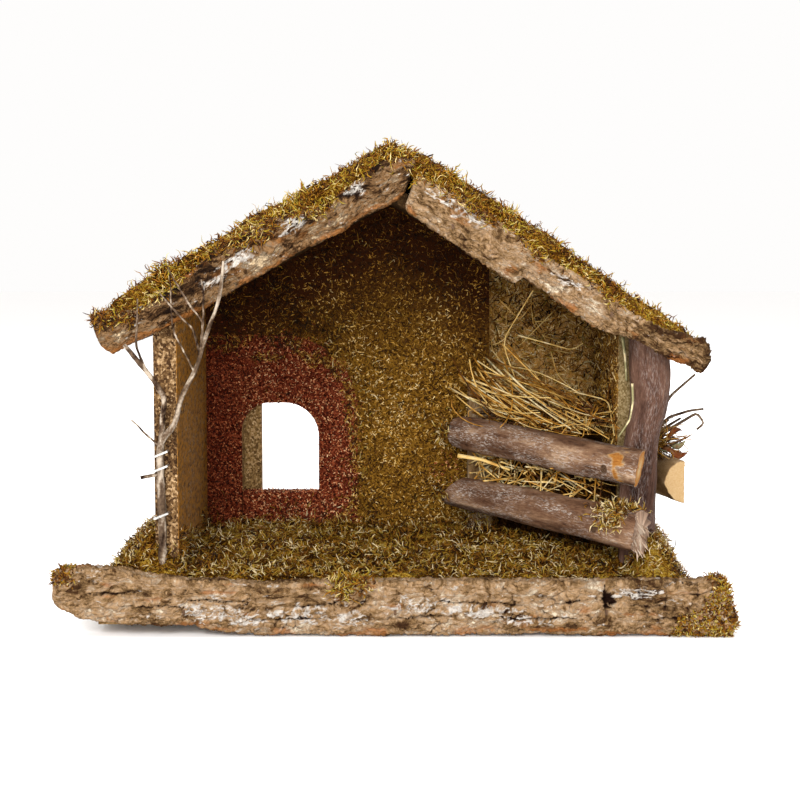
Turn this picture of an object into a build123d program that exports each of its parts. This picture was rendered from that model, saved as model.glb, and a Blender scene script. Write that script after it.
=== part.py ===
"""Nativity stable of chipboard, bark slabs, branches, moss and hay.

Millimetres. +X is to the right of someone who looks in, +Y runs to the back, +Z is up.
The origin is the middle of the footprint, on the table.
"""

import math
import os

from build123d import *

os.makedirs("parts", exist_ok=True)

# Fits: wood seats on wood, soft pieces lie beside wood
seat_gap = 0.2
soft_gap = 0.3
joint_gap = 0.3

# Base board and the bark slab along its front
base_length = 306.0
base_depth = 157.0
base_thickness = 14.0
base_lift = 4.0
slab_length = 350.0
slab_height = 36.0
slab_thickness = 15.0
fissure_width = 3.0
fissure_depth = 2.4
knot_radius = 4.2
knot_depth = 5.0

# Side walls and back wall
wall_thickness = 12.0
room_width = 231.0
room_shift = 3.2
right_wall_setback = 33.0
bay_width = 63.5
lap_width = 14.0
batten_thickness = 8.0
batten_width = 30.0
batten_height = 130.0
batten_reveal = 10.6

# Doorway in the back wall, and the block that makes a window of it
door_inset = 20.8
door_width = 45.7
door_height = 87.3
door_left_radius = 17.0
door_right_radius = 20.0
sill_height = 33.5

# Sawdust coats on the back wall
coat_thickness = 1.0
brick_width = 89.5
brick_height = 127.5
brick_radius = 45.0
slit_width = 1.2

# Roof boards, mitred at the ridge
roof_pitch = 28.8
ridge_x = -3.5
ridge_height = 221.9
panel_thickness = 7.0
panel_left_length = 158.0
panel_right_length = 176.0

# Bark slabs on the front roof edges
bark_setback = 10.0
roof_bark_thickness = 14.0
bark_drop = 3.0
bark_left_length = 164.0
bark_left_height = 20.0
bark_right_length = 184.0
bark_right_height = 20.0
bark_belly_share = 0.55
bark_front_share = 0.62
bark_end_share = 0.985

# Moss: heights above the base board or above the roof boards
moss_front_height = 13.0
moss_middle_height = 19.0
moss_back_height = 16.0
mound_height = 24.0
mound_back_height = 22.0
foot_height = 36.0
foot_width = 54.0
right_mound_height = 32.0
roof_moss_height = 18.0
roof_moss_lip = 1.5
valley_width = 24.0
valley_depth = 4.6

# Crooked branch at the right front corner
post_inset = 10.3
post_radius = 10.2
post_lean = 5.6
post_height = 158.0

# Branch stub at the back wall and the two rails of the hay rack
rack_post_inset = 4.7
rack_post_radius = 9.5
rack_post_height = 98.5
upper_rail_radius = 10.5
upper_rail_fall = 7.2
upper_rail_left_reach = -3.0
upper_rail_right_reach = 15.8
lower_rail_radius = 11.0
lower_rail_height = 54.0
lower_rail_fall = 4.0
rail_gap = 11.3
lower_rail_left_reach = 9.0
lower_rail_right_reach = 23.5
lower_rail_cut = 42.0
upper_rail_bevel = 46.0
lower_rail_bevel = 25.0

# Hay
hay_clearance = 1.2
hay_lift = 0.6
hay_slope = 15.0
straw_radius = 0.45
straw_length = 58.0
straw_spacing = 9.0
straw_row_reach = 13.5
straw_turn = 42.0
straw_kink = 14.0
straw_along_share = 0.52
straw_rise_share = 0.42

# Forked twig stapled to the front edge of the left wall
twig_inset = 3.8
twig_radius = 2.2
twig_height = 136.5
twig_spread = 40.0
twig_reach = 18.0
staple_wire = 0.5
staple_leg = 9.0
staple_tilt = 22.0

# Split log, dry clump and twigs outside the right wall
log_radius = 11.5
log_length = 60.0
log_height = 71.7
log_angle = 13.0
log_end_setback = 36.0
clump_radius = 8.0
clump_taper = 33.0
clump_setback = 25.0
side_twig_length = 21.0
side_twig_radius = 0.7

# Nails and brads
nail_radius = 1.0
nail_head_radius = 2.2
nail_head_thickness = 0.9
nail_length = 34.0
log_nail_length = 24.0
brad_width = 1.3
brad_head_width = 2.6
brad_head_thickness = 0.7
base_brad_length = 42.0
back_brad_length = 32.0
roof_brad_length = 24.0
bark_brad_length = 32.0

# Rungs of a bark slab: place along it and height of its lower edge, then of its upper edge
slab_rung_shares = (
    (0.000, 0.460, 0.003, 0.96),
    (0.020, 0.340, 0.020, 0.99),
    (0.045, 0.220, 0.050, 1.00),
    (0.090, 0.160, 0.090, 0.99),
    (0.140, 0.140, 0.140, 0.89),
    (0.200, 0.140, 0.200, 0.83),
    (0.245, 0.060, 0.250, 0.82),
    (0.310, 0.000, 0.305, 0.78),
    (0.400, 0.000, 0.400, 0.81),
    (0.550, 0.000, 0.550, 0.82),
    (0.700, 0.010, 0.700, 0.81),
    (0.850, 0.000, 0.850, 0.82),
    (0.950, 0.000, 0.945, 0.82),
    (0.988, 0.000, 0.965, 0.87),
    (1.000, 0.100, 0.982, 0.84),
)

# Long fissures in the front slab, from end to end, and its knot hole: along it, up it
slab_fissure_shares = (
    (0.050, 0.62, 0.135, 0.70),
    (0.090, 0.44, 0.205, 0.42),
    (0.190, 0.57, 0.300, 0.50),
    (0.275, 0.24, 0.400, 0.28),
    (0.345, 0.47, 0.470, 0.55),
    (0.480, 0.25, 0.610, 0.33),
    (0.545, 0.53, 0.690, 0.48),
    (0.650, 0.26, 0.780, 0.22),
    (0.720, 0.45, 0.782, 0.56),
    (0.830, 0.50, 0.925, 0.40),
    (0.860, 0.22, 0.960, 0.28),
)
knot_shares = (0.807, 0.58)

left_rung_shares = (
    (-0.045, -0.020, -0.140, 0.66),
    (0.030, 0.000, -0.072, 0.97),
    (0.100, 0.040, -0.004, 1.00),
    (0.175, -0.060, 0.156, 0.74),
    (0.308, 0.030, 0.300, 1.05),
    (0.453, 0.000, 0.406, 1.18),
    (0.540, 0.000, 0.520, 1.10),
    (0.652, -0.070, 0.600, 0.98),
    (0.740, -0.020, 0.730, 0.84),
    (0.826, 0.000, 0.826, 0.73),
    (0.911, 0.030, 0.920, 1.00),
    (0.980, 0.040, 0.976, 1.16),
    (1.000, 0.350, 0.995, 0.70),
)
right_rung_shares = (
    (0.050, 0.100, 0.036, 0.93),
    (0.105, 0.030, 0.100, 0.98),
    (0.165, -0.035, 0.165, 1.00),
    (0.263, -0.110, 0.260, 0.95),
    (0.362, -0.185, 0.340, 0.88),
    (0.417, -0.220, 0.400, 0.81),
    (0.428, 0.030, 0.440, 0.70),
    (0.493, -0.015, 0.500, 0.70),
    (0.595, -0.135, 0.600, 0.72),
    (0.653, -0.215, 0.660, 0.62),
    (0.721, -0.130, 0.730, 0.54),
    (0.790, 0.040, 0.790, 0.55),
    (0.855, 0.000, 0.860, 0.60),
    (0.946, 0.080, 0.930, 0.74),
    (0.989, 0.060, 0.950, 0.86),
    (1.000, 0.400, 0.985, 0.62),
)

# Upper line of the roof moss: place along the roof board, height of the moss
left_moss_shares = (
    (0.15, 0.96),
    (0.30, 0.98),
    (0.45, 1.02),
    (0.55, 0.93),
    (0.68, 1.00),
    (0.80, 1.12),
    (0.90, 1.00),
    (0.97, 0.80),
    (1.00, 0.40),
)
right_moss_shares = (
    (0.075, 1.10),
    (0.165, 1.27),
    (0.225, 1.08),
    (0.330, 1.00),
    (0.430, 0.97),
    (0.550, 0.80),
    (0.630, 0.71),
    (0.730, 0.65),
    (0.800, 0.51),
    (0.870, 0.53),
    (0.940, 0.39),
    (0.985, 0.36),
    (1.000, 0.15),
)

# Valleys down the roof moss: place towards the back at the ridge, and at the eave
valley_shares = ((0.20, 0.27), (0.48, 0.40), (0.70, 0.80))
valley_clear_share = 3.0

# Moss outside the right wall: place towards the back, heights at the wall and at the board's edge
right_mound_shares = (
    (0.00, 0.40, 0.36),
    (0.15, 1.00, 0.36),
    (0.50, 0.80, 0.50),
    (1.00, 0.66, 0.50),
)

# Branch sections: place along the branch, sideways share of its lean, share of its radius
branch_sides = 18
twig_sides = 6
nail_sides = 12
straw_sides = 4
post_shares = (
    (0.00, 0.00, 1.02),
    (0.28, 0.00, 1.00),
    (0.45, 0.62, 0.86),
    (0.60, 0.85, 1.00),
    (1.00, 1.00, 1.13),
)
rack_post_shares = ((0.0, 0.0, 1.0), (0.6, 0.0, 0.96), (1.0, 0.0, 0.90))
upper_rail_shares = ((0.0, 0.80), (0.04, 1.00), (0.35, 0.97), (0.70, 1.00), (1.0, 0.98))
lower_rail_shares = ((0.0, 0.80), (0.35, 0.92), (0.70, 1.00), (1.0, 1.06))

# Limbs of the forked twig: shares of its spread, reach, height and stem radius
limb_shares = (
    (
        (0.000, 0.000, 0.000, 1.00),
        (-0.012, 0.000, 0.289, 0.96),
        (0.010, 0.020, 0.327, 0.80),
        (0.200, 0.180, 0.383, 0.66),
        (0.267, 0.300, 0.478, 0.60),
        (0.505, 0.520, 0.612, 0.52),
        (0.588, 0.680, 0.691, 0.48),
        (0.788, 0.930, 0.839, 0.42),
        (0.868, 0.970, 0.967, 0.34),
        (0.868, 0.980, 1.000, 0.24),
    ),
    (
        (-0.005, 0.020, 0.300, 0.62),
        (0.072, 0.240, 0.496, 0.60),
        (-0.110, 0.480, 0.577, 0.60),
        (-0.250, 0.700, 0.635, 0.54),
        (-0.388, 0.900, 0.692, 0.46),
    ),
    (
        (-0.150, 0.545, 0.595, 0.30),
        (-0.245, 0.840, 0.690, 0.27),
        (-0.210, 0.940, 0.862, 0.18),
    ),
    (
        (0.545, 0.600, 0.652, 0.32),
        (0.600, 0.860, 0.745, 0.28),
        (0.617, 0.950, 0.880, 0.22),
        (0.590, 0.970, 0.932, 0.17),
    ),
    (
        (0.540, 0.590, 0.645, 0.32),
        (0.497, 0.840, 0.745, 0.28),
        (0.310, 0.920, 0.800, 0.24),
        (0.057, 0.980, 0.884, 0.17),
    ),
    (
        (0.606, 0.880, 0.775, 0.26),
        (0.440, 0.930, 0.840, 0.23),
        (0.247, 0.970, 0.933, 0.19),
        (0.185, 0.980, 0.977, 0.16),
    ),
    (
        (-0.020, 0.040, 0.305, 0.28),
        (-0.380, 0.150, 0.405, 0.19),
    ),
    (
        (-0.010, 0.050, 0.198, 0.46),
        (-0.250, 0.140, 0.185, 0.40),
    ),
    (
        (0.462, 0.480, 0.588, 0.24),
        (0.220, 0.860, 0.745, 0.20),
        (0.195, 0.960, 0.950, 0.15),
    ),
)
clump_sides = 9
clump_rise_share = 0.85
staple_shares = (0.04, 0.22, 0.275)
side_twig_shares = (
    (0.90, -0.25, 0.42, 1.00),
    (0.97, 0.10, 0.22, 1.10),
    (0.80, -0.45, 0.62, 0.80),
    (0.85, 0.30, 0.45, 0.70),
)

side_twig_root_share = 0.72

# Straws lie in layers, each across the one below: turn of a layer, length of its straws
straw_turn_shares = (1.0, -0.8, 0.6, -1.1, 0.9, -0.5)
straw_length_shares = (0.75, 1.00, 0.85, 0.65)

# Where brads stand: shares of the run that they hold
side_brad_shares = (0.2, 0.8)
back_brad_shares = (0.10, 0.58, 0.90)
wall_brad_shares = (0.25, 0.75)
roof_brad_shares = (0.22, 0.62)
roof_bark_brad_shares = (0.20, 0.72)
slab_brad_shares = (0.15, 0.50, 0.85)

# Stations that the pieces share
front_y = -(slab_thickness + base_depth + batten_thickness) / 2
base_front_y = front_y + slab_thickness
base_back_y = base_front_y + base_depth
floor_z = base_lift + base_thickness
rear_y = base_back_y + batten_thickness
roof_bark_y = front_y + bark_setback
roof_front_y = roof_bark_y + roof_bark_thickness
back_wall_y = base_back_y - wall_thickness
coat_y = back_wall_y - coat_thickness
right_wall_y = roof_front_y + right_wall_setback
left_inner_x = room_shift - room_width / 2
left_outer_x = left_inner_x - wall_thickness
right_inner_x = room_shift + room_width / 2
right_outer_x = right_inner_x + wall_thickness
board_end_x = right_inner_x - bay_width
door_left_x = left_inner_x + door_inset
door_right_x = door_left_x + door_width
door_top = floor_z + door_height
sill_top = floor_z + sill_height
upper_rail_height = lower_rail_height + lower_rail_radius + rail_gap + upper_rail_radius
slope = math.radians(roof_pitch)
side_middle = wall_thickness / 2


def facing_front(y):
    """Upright plane at depth y: drawn in X and Z, extruded towards the front."""
    return Plane(origin=(0, y, 0), x_dir=(1, 0, 0), z_dir=(0, -1, 0))


def facing_right(x):
    """Upright plane at x: drawn in Y and Z, extruded to the right."""
    return Plane(origin=(x, 0, 0), x_dir=(0, 1, 0), z_dir=(1, 0, 0))


def on_slope(side, y):
    """Plane across a roof slope: first coordinate down the slope, second square to it."""
    down = (side * math.cos(slope), 0, -math.sin(slope))
    return Plane(origin=(ridge_x, y, ridge_height), x_dir=down, z_dir=(0, -side, 0))


def under_roof(x):
    """Height of the underside of the roof boards above x."""
    return ridge_height - abs(x - ridge_x) * math.tan(slope)


def between(start, end, share):
    return start + (end - start) * share


def branch_at(shares, share):
    """Sideways share and radius share of a branch at a share of its length."""
    for low, high in zip(shares, shares[1:]):
        if share <= high[0]:
            step = (share - low[0]) / (high[0] - low[0])
            return between(low[1], high[1], step), between(low[2], high[2], step)
    return shares[-1][1], shares[-1][2]


def box_between(low, high, mode=Mode.ADD):
    """Box from its lowest to its highest corner."""
    middle = [(a + b) / 2 for a, b in zip(low, high)]
    with Locations(tuple(middle)):
        Box(*(b - a for a, b in zip(low, high)), mode=mode)


def bark_outline(rungs, length, height, start, lift, squeeze, end_squeeze):
    """Closed outline of a bark slab, its rungs drawn in towards their middles."""
    lower = []
    upper = []
    half = length / 2
    for low_along, low, up_along, up in rungs:
        ends = [(low_along * length, low * height), (up_along * length, up * height)]
        middle = [(a + b) / 2 for a, b in zip(*ends)]
        drawn = []
        for point in ends:
            along, rise = (between(m, p, squeeze) for m, p in zip(middle, point))
            drawn.append((start + between(half, along, end_squeeze), lift + rise))
        lower.append(drawn[0])
        upper.append(drawn[1])
    return lower + upper[::-1]


def bark_slab(place, rungs, length, height, start, lift, back, front):
    """Bark slab: flat sawn back, straight flanks, then a belly that draws in to the front."""
    belly = between(back, front, bark_belly_share)
    layers = (
        (back, 1, 1),
        (belly, 1, 1),
        (front, bark_front_share, bark_end_share),
    )
    sections = []
    for y, squeeze, end_squeeze in layers:
        outline = bark_outline(rungs, length, height, start, lift, squeeze, end_squeeze)
        with BuildSketch(place(y)) as section:
            Polygon(*outline, align=None)
        sections.append(section.sketch)
    loft(sections, ruled=True)


def on_slab(along, rise):
    """Place on the front slab from shares of its length and height."""
    return (slab_length * (along - 0.5), slab_height * rise)


def fissure(start_along, start_rise, end_along, end_rise):
    """Split in the bark: pointed at both ends, widest in the middle."""
    start = Vector(*on_slab(start_along, start_rise))
    end = Vector(*on_slab(end_along, end_rise))
    middle = (start + end) / 2
    square = Vector(0, 0, 1).cross(end - start).normalized() * (fissure_width / 2)
    corners = (start, middle - square, end, middle + square)
    Polygon(*((corner.X, corner.Y) for corner in corners), align=None)


def limb(points, radii, sides):
    """Branch of flat facets along a bent path, one section at each point."""
    path = [Vector(*p) for p in points]
    last = len(path) - 1
    sections = []
    for i, point in enumerate(path):
        ahead = path[min(i + 1, last)] - path[max(i - 1, 0)]
        across = ahead.cross(Vector(0, 1, 0))
        with BuildSketch(Plane(origin=point, x_dir=across, z_dir=ahead)) as section:
            RegularPolygon(radius=radii[i], side_count=sides)
        sections.append(section.sketch)
    loft(sections, ruled=True)


def branch(foot, shares, height, lean, radius):
    """Upright branch of round sections that leans to the right."""
    sections = []
    for along, sideways, girth in shares:
        place = Plane(origin=(foot[0] + sideways * lean, foot[1], foot[2] + along * height))
        with BuildSketch(place) as section:
            RegularPolygon(radius=radius * girth, side_count=branch_sides)
        sections.append(section.sketch)
    loft(sections, ruled=True)


def pin(place, length):
    """Round wire nail, its head flush with the plane and its shank below it."""
    for radius, depth in ((nail_radius, length), (nail_head_radius, nail_head_thickness)):
        with BuildSketch(place) as section:
            RegularPolygon(radius=radius, side_count=nail_sides)
        extrude(section.sketch, amount=-depth)


def brad(place, length):
    """Flat wire brad with a head on two sides, flush with the plane."""
    deep = (Align.CENTER, Align.CENTER, Align.MAX)
    with Locations(place):
        Box(brad_width, brad_width, length, align=deep)
        Box(brad_head_width, brad_width, brad_head_thickness, align=deep)


def doorway(bottom):
    """Doorway outline from a height up to its uneven arch."""
    right_spring = (door_right_x, door_top - door_right_radius)
    right_crown = (door_right_x - door_right_radius, door_top)
    left_crown = (door_left_x + door_left_radius, door_top)
    left_spring = (door_left_x, door_top - door_left_radius)
    with BuildLine() as edge:
        Polyline(left_spring, (door_left_x, bottom), (door_right_x, bottom), right_spring)
        TangentArc(right_spring, right_crown, tangent=(0, 1))
        Line(right_crown, left_crown)
        TangentArc(left_crown, left_spring, tangent=(-1, 0))
    make_face(edge.edges())


def brick_outline():
    """Brick-red field: upright strip beside the left wall, rounded at its upper right."""
    right = left_inner_x + brick_width
    top = floor_z + brick_height
    spring = (right, top - brick_radius)
    crown = (right - brick_radius, top)
    with BuildLine() as edge:
        Polyline(crown, (left_inner_x, top), (left_inner_x, floor_z), (right, floor_z), spring)
        TangentArc(spring, crown, tangent=(0, 1))
    make_face(edge.edges())


def save(piece, name):
    piece.part.label = name
    export_step(piece.part, "parts/" + name + ".step")


# Plan of the rack: both rails lie against the fronts of the two posts
post_x = right_inner_x + post_inset
widest = max(girth for along, sideways, girth in post_shares)
post_y = right_wall_y - post_radius * widest - seat_gap
rack_post_x = board_end_x - rack_post_inset
rack_post_y = coat_y - rack_post_radius - seat_gap


def rail_plan(height, fall, radius):
    """Feet of both posts on a rail's axis, the square to it and the way along it."""
    left_share = (height + fall / 2 - floor_z) / rack_post_height
    right_share = (height - fall / 2 - floor_z) / post_height
    thick = branch_at(rack_post_shares, left_share)[1]
    sideways, girth = branch_at(post_shares, right_share)
    left = Vector(rack_post_x, rack_post_y, 0)
    right = Vector(post_x + sideways * post_lean, post_y, 0)
    left_off = rack_post_radius * thick + radius + seat_gap
    right_off = post_radius * girth + radius + seat_gap
    across = right - left
    turn = math.acos((right_off - left_off) / across.length)
    heading = math.atan2(across.Y, across.X) + turn
    square = Vector(math.cos(heading), math.sin(heading), 0)
    along = Vector(square.Y, -square.X, 0)
    return left - square * left_off, right - square * right_off, square, along


def rail_axis(height, fall, radius, left_reach, right_reach):
    left, right, square, along = rail_plan(height, fall, radius)
    lift = Vector(0, 0, height)
    drop = Vector(0, 0, fall / 2)
    past = along * (radius * 2)
    start = left - along * left_reach + lift + drop
    return start, right + along * right_reach + lift - drop + past


def rail(start, end, shares, radius, bevel):
    """Round branch from start, sawn off at a bevel before its end."""
    sections = []
    for along, girth in shares:
        place = Plane(origin=start + (end - start) * along, z_dir=end - start)
        with BuildSketch(place) as section:
            RegularPolygon(radius=radius * girth, side_count=branch_sides)
        sections.append(section.sketch)
    loft(sections, ruled=True)
    way = (end - start).normalized()
    swing = math.radians(bevel)
    look = way * math.cos(swing) + Vector(0, 0, 1).cross(way) * math.sin(swing)
    split(bisect_by=Plane(origin=end - way * (radius * 2), z_dir=look), keep=Keep.BOTTOM)


def rail_nail_places(height, fall, radius):
    """Nail heads on the front of a rail, where it crosses the two posts."""
    left, right, square, along = rail_plan(height, fall, radius)
    places = []
    for foot, rise in ((left, fall / 2), (right, -fall / 2)):
        head = foot - square * radius + Vector(0, 0, height + rise)
        places.append(Plane(origin=head, z_dir=-square))
    return places


# Split log outside the right wall: its way to the front and the way its flat side looks
log_turn = math.radians(log_angle)
log_way = Vector(math.sin(log_turn), -math.cos(log_turn), 0)
log_out = Vector(math.cos(log_turn), math.sin(log_turn), 0)
log_back = Vector(
    right_outer_x + log_radius * math.cos(log_turn) + seat_gap,
    roof_front_y + log_end_setback + log_length * math.cos(log_turn),
    log_height,
)

# Nails and brads come first, so that the wood takes their holes from them
with BuildPart() as rail_nails:
    upper_places = rail_nail_places(upper_rail_height, upper_rail_fall, upper_rail_radius)
    lower_places = rail_nail_places(lower_rail_height, lower_rail_fall, lower_rail_radius)
    for place in upper_places + lower_places:
        pin(place, nail_length)
    log_place = Plane(origin=log_back + log_way * log_radius, z_dir=log_out)
    pin(log_place, log_nail_length)
save(rail_nails, "rail_nails")

with BuildPart() as base_brads:
    for share in side_brad_shares:
        left_y = between(roof_front_y, back_wall_y, share)
        right_y = between(right_wall_y, base_back_y, share)
        spots = ((left_inner_x - side_middle, left_y), (right_inner_x + side_middle, right_y))
        for x, y in spots:
            brad(Plane(origin=(x, y, base_lift), z_dir=(0, 0, -1)), base_brad_length)
    for share in back_brad_shares:
        x = between(left_outer_x, board_end_x, share)
        place = Plane(origin=(x, back_wall_y + side_middle, base_lift), z_dir=(0, 0, -1))
        brad(place, base_brad_length)
save(base_brads, "base_brads")

with BuildPart() as back_brads:
    for share in wall_brad_shares:
        left_x = left_inner_x - side_middle
        right_x = right_inner_x + side_middle
        left_z = between(floor_z, under_roof(left_outer_x), share)
        right_z = between(floor_z, under_roof(right_outer_x), share)
        brad(Plane(origin=(left_x, base_back_y, left_z), z_dir=(0, 1, 0)), back_brad_length)
        brad(Plane(origin=(right_x, rear_y, right_z), z_dir=(0, 1, 0)), back_brad_length)
save(back_brads, "back_brads")

with BuildPart() as roof_brads:
    for side, reach in ((-1, ridge_x - left_outer_x), (1, board_end_x - ridge_x)):
        up = Vector(side * math.sin(slope), 0, math.cos(slope))
        for share in roof_brad_shares:
            x = ridge_x + side * reach * share
            top = Vector(x, back_wall_y + side_middle, under_roof(x)) + up * panel_thickness
            brad(Plane(origin=top, z_dir=up), roof_brad_length)
save(roof_brads, "roof_brads")

with BuildPart() as bark_brads:
    middle_rise = panel_thickness / 2
    for side, run in ((-1, panel_left_length), (1, panel_right_length)):
        down = Vector(side * math.cos(slope), 0, -math.sin(slope))
        up = Vector(side * math.sin(slope), 0, math.cos(slope))
        ridge = Vector(ridge_x, roof_bark_y, ridge_height)
        for share in roof_bark_brad_shares:
            head = ridge + down * (run * share) + up * middle_rise
            brad(Plane(origin=head, z_dir=(0, -1, 0)), bark_brad_length)
    for share in slab_brad_shares:
        x = between(-base_length / 2, base_length / 2, share)
        head = (x, front_y, floor_z - base_thickness / 3)
        brad(Plane(origin=head, z_dir=(0, -1, 0)), bark_brad_length)
save(bark_brads, "bark_brads")

# Base
with BuildPart() as base_board:
    low = (-base_length / 2, base_front_y, base_lift)
    box_between(low, (base_length / 2, base_back_y, floor_z))
    add(base_brads.part, mode=Mode.SUBTRACT)
    add(bark_brads.part, mode=Mode.SUBTRACT)
save(base_board, "base_board")

with BuildPart() as front_bark_slab:
    bark_slab(
        facing_front, slab_rung_shares, slab_length, slab_height,
        -slab_length / 2, 0, base_front_y, front_y,
    )
    with BuildSketch(facing_front(front_y)):
        for shares in slab_fissure_shares:
            fissure(*shares)
    extrude(amount=-fissure_depth, mode=Mode.SUBTRACT)
    with BuildSketch(facing_front(front_y)):
        with Locations(on_slab(*knot_shares)):
            RegularPolygon(radius=knot_radius, side_count=nail_sides)
    extrude(amount=-knot_depth, mode=Mode.SUBTRACT)
    add(bark_brads.part, mode=Mode.SUBTRACT)
save(front_bark_slab, "front_bark_slab")

# Walls
twig_x = left_outer_x + twig_inset
twig_y = roof_front_y - twig_radius - seat_gap
twig_z = floor_z + foot_height + soft_gap
with BuildPart() as twig_staples:
    reach = (twig_radius + seat_gap) / math.cos(math.radians(staple_tilt)) + staple_wire * 2
    crown_y = twig_y - reach
    for share in staple_shares:
        crown = Plane(
            origin=(twig_x, crown_y, twig_z + share * twig_height),
            x_dir=(math.cos(math.radians(staple_tilt)), 0, math.sin(math.radians(staple_tilt))),
            z_dir=(0, -1, 0),
        )
        run = roof_front_y - crown_y + staple_leg
        with BuildSketch(crown):
            Rectangle((reach + staple_wire) * 2, staple_wire * 2)
        extrude(amount=staple_wire, both=True)
        with BuildSketch(crown):
            with Locations((-reach, 0), (reach, 0)):
                Rectangle(staple_wire * 2, staple_wire * 2)
        extrude(amount=-run)
save(twig_staples, "twig_staples")

with BuildPart() as left_wall:
    with BuildSketch(facing_front(back_wall_y)):
        Polygon(
            (left_outer_x, floor_z),
            (left_inner_x, floor_z),
            (left_inner_x, under_roof(left_inner_x)),
            (left_outer_x, under_roof(left_outer_x)),
            align=None,
        )
    extrude(amount=back_wall_y - roof_front_y)
    for pins in (base_brads, back_brads, twig_staples):
        add(pins.part, mode=Mode.SUBTRACT)
save(left_wall, "left_wall")

with BuildPart() as right_wall:
    with BuildSketch(facing_front(base_back_y)):
        Polygon(
            (right_inner_x, floor_z),
            (right_outer_x, floor_z),
            (right_outer_x, under_roof(right_outer_x)),
            (right_inner_x, under_roof(right_inner_x)),
            align=None,
        )
    extrude(amount=base_back_y - right_wall_y)
    for pins in (base_brads, back_brads, rail_nails):
        add(pins.part, mode=Mode.SUBTRACT)
save(right_wall, "right_wall")

with BuildPart() as back_wall:
    with BuildSketch(facing_front(base_back_y)):
        Polygon(
            (left_outer_x, floor_z),
            (board_end_x, floor_z),
            (board_end_x, under_roof(board_end_x)),
            (ridge_x, ridge_height),
            (left_outer_x, under_roof(left_outer_x)),
            align=None,
        )
    extrude(amount=wall_thickness)
    with BuildSketch(facing_front(base_back_y)):
        doorway(floor_z)
    extrude(amount=wall_thickness, mode=Mode.SUBTRACT)
    for pins in (base_brads, back_brads, roof_brads):
        add(pins.part, mode=Mode.SUBTRACT)
save(back_wall, "back_wall")

with BuildPart() as window_sill_block:
    low = (door_left_x + joint_gap, back_wall_y, floor_z)
    box_between(low, (door_right_x - joint_gap, base_back_y, sill_top))
save(window_sill_block, "window_sill_block")

with BuildPart() as rear_batten:
    right = door_left_x + batten_reveal
    box_between((right - batten_width, base_back_y, 0), (right, rear_y, batten_height))
save(rear_batten, "rear_batten")

with BuildPart() as right_back_board:
    left = board_end_x - lap_width
    with BuildSketch(facing_front(rear_y)):
        Polygon(
            (left, 0),
            (right_outer_x, 0),
            (right_outer_x, under_roof(right_outer_x)),
            (left, under_roof(left)),
            align=None,
        )
    extrude(amount=batten_thickness)
    add(back_brads.part, mode=Mode.SUBTRACT)
save(right_back_board, "right_back_board")

with BuildPart() as brick_coat:
    with BuildSketch(facing_front(back_wall_y)):
        brick_outline()
    extrude(amount=coat_thickness)
    with BuildSketch(facing_front(back_wall_y)):
        doorway(sill_top)
    extrude(amount=coat_thickness, mode=Mode.SUBTRACT)
    slit_low = (door_left_x, coat_y, floor_z)
    slit_high = (door_left_x + slit_width, back_wall_y, sill_top)
    box_between(slit_low, slit_high, mode=Mode.SUBTRACT)
save(brick_coat, "brick_coat")

with BuildPart() as sawdust_coat:
    with BuildSketch(facing_front(back_wall_y)):
        Polygon(
            (left_inner_x, floor_z),
            (board_end_x, floor_z),
            (board_end_x, under_roof(board_end_x)),
            (ridge_x, ridge_height),
            (left_inner_x, under_roof(left_inner_x)),
            align=None,
        )
    extrude(amount=coat_thickness)
    with BuildSketch(facing_front(back_wall_y)):
        brick_outline()
    extrude(amount=coat_thickness, mode=Mode.SUBTRACT)
save(sawdust_coat, "sawdust_coat")


# Roof
def roof_start(side):
    """Face from which a roof piece is extruded: the front one on the left, else the rear."""
    return roof_front_y if side < 0 else rear_y


def roof_panel(side, run):
    lean = panel_thickness * math.tan(slope)
    with BuildSketch(on_slope(side, roof_start(side))) as section:
        Polygon((0, 0), (run, 0), (run, panel_thickness), (-lean, panel_thickness), align=None)
    extrude(section.sketch, amount=rear_y - roof_front_y)
    add(roof_brads.part, mode=Mode.SUBTRACT)
    add(bark_brads.part, mode=Mode.SUBTRACT)


def roof_moss(side, run, height, shares, barks):
    """Moss on a roof board, cut upright at the ridge and laid over the bark slab in front."""
    front = roof_bark_y + roof_moss_lip
    start = front if side < 0 else rear_y
    low_lean = panel_thickness * math.tan(slope)
    top = panel_thickness + height
    outline = [(run, panel_thickness), (-low_lean, panel_thickness), (-top * math.tan(slope), top)]
    outline += [(along * run, panel_thickness + rise * height) for along, rise in shares]
    with BuildSketch(on_slope(side, start)) as section:
        Polygon(*outline, align=None)
    extrude(section.sketch, amount=rear_y - front)
    eave = panel_thickness + shares[-2][1] * height
    for ridge_share, eave_share in valley_shares:
        ridge_y = between(front, rear_y, ridge_share)
        valley(side, ridge_y, top, between(front, rear_y, eave_share), eave, run)
    for bark in barks:
        add(bark.part, mode=Mode.SUBTRACT)


def valley(side, ridge_y, ridge_top, eave_y, eave_top, run):
    """Trough that runs from the ridge down to the eave, with a sharp floor."""
    level = on_slope(side, ridge_y)
    start = level.from_local_coords(Vector(-ridge_top * math.tan(slope), ridge_top - valley_depth))
    end = level.from_local_coords(Vector(run, eave_top - valley_depth)) + Vector(0, eave_y - ridge_y)
    half = valley_width / 2 * valley_clear_share
    with BuildSketch(Plane(origin=start, x_dir=(0, 1, 0), z_dir=level.x_dir)) as section:
        rise = valley_depth * valley_clear_share * (1 if section.workplanes[0].y_dir.Z > 0 else -1)
        Polygon((0, 0), (half, rise), (-half, rise), align=None)
    way = end - start
    extrude(section.sketch, amount=way.length, dir=way, mode=Mode.SUBTRACT)


with BuildPart() as roof_panel_left:
    roof_panel(-1, panel_left_length)
save(roof_panel_left, "roof_panel_left")

with BuildPart() as roof_panel_right:
    roof_panel(1, panel_right_length)
save(roof_panel_right, "roof_panel_right")

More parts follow.
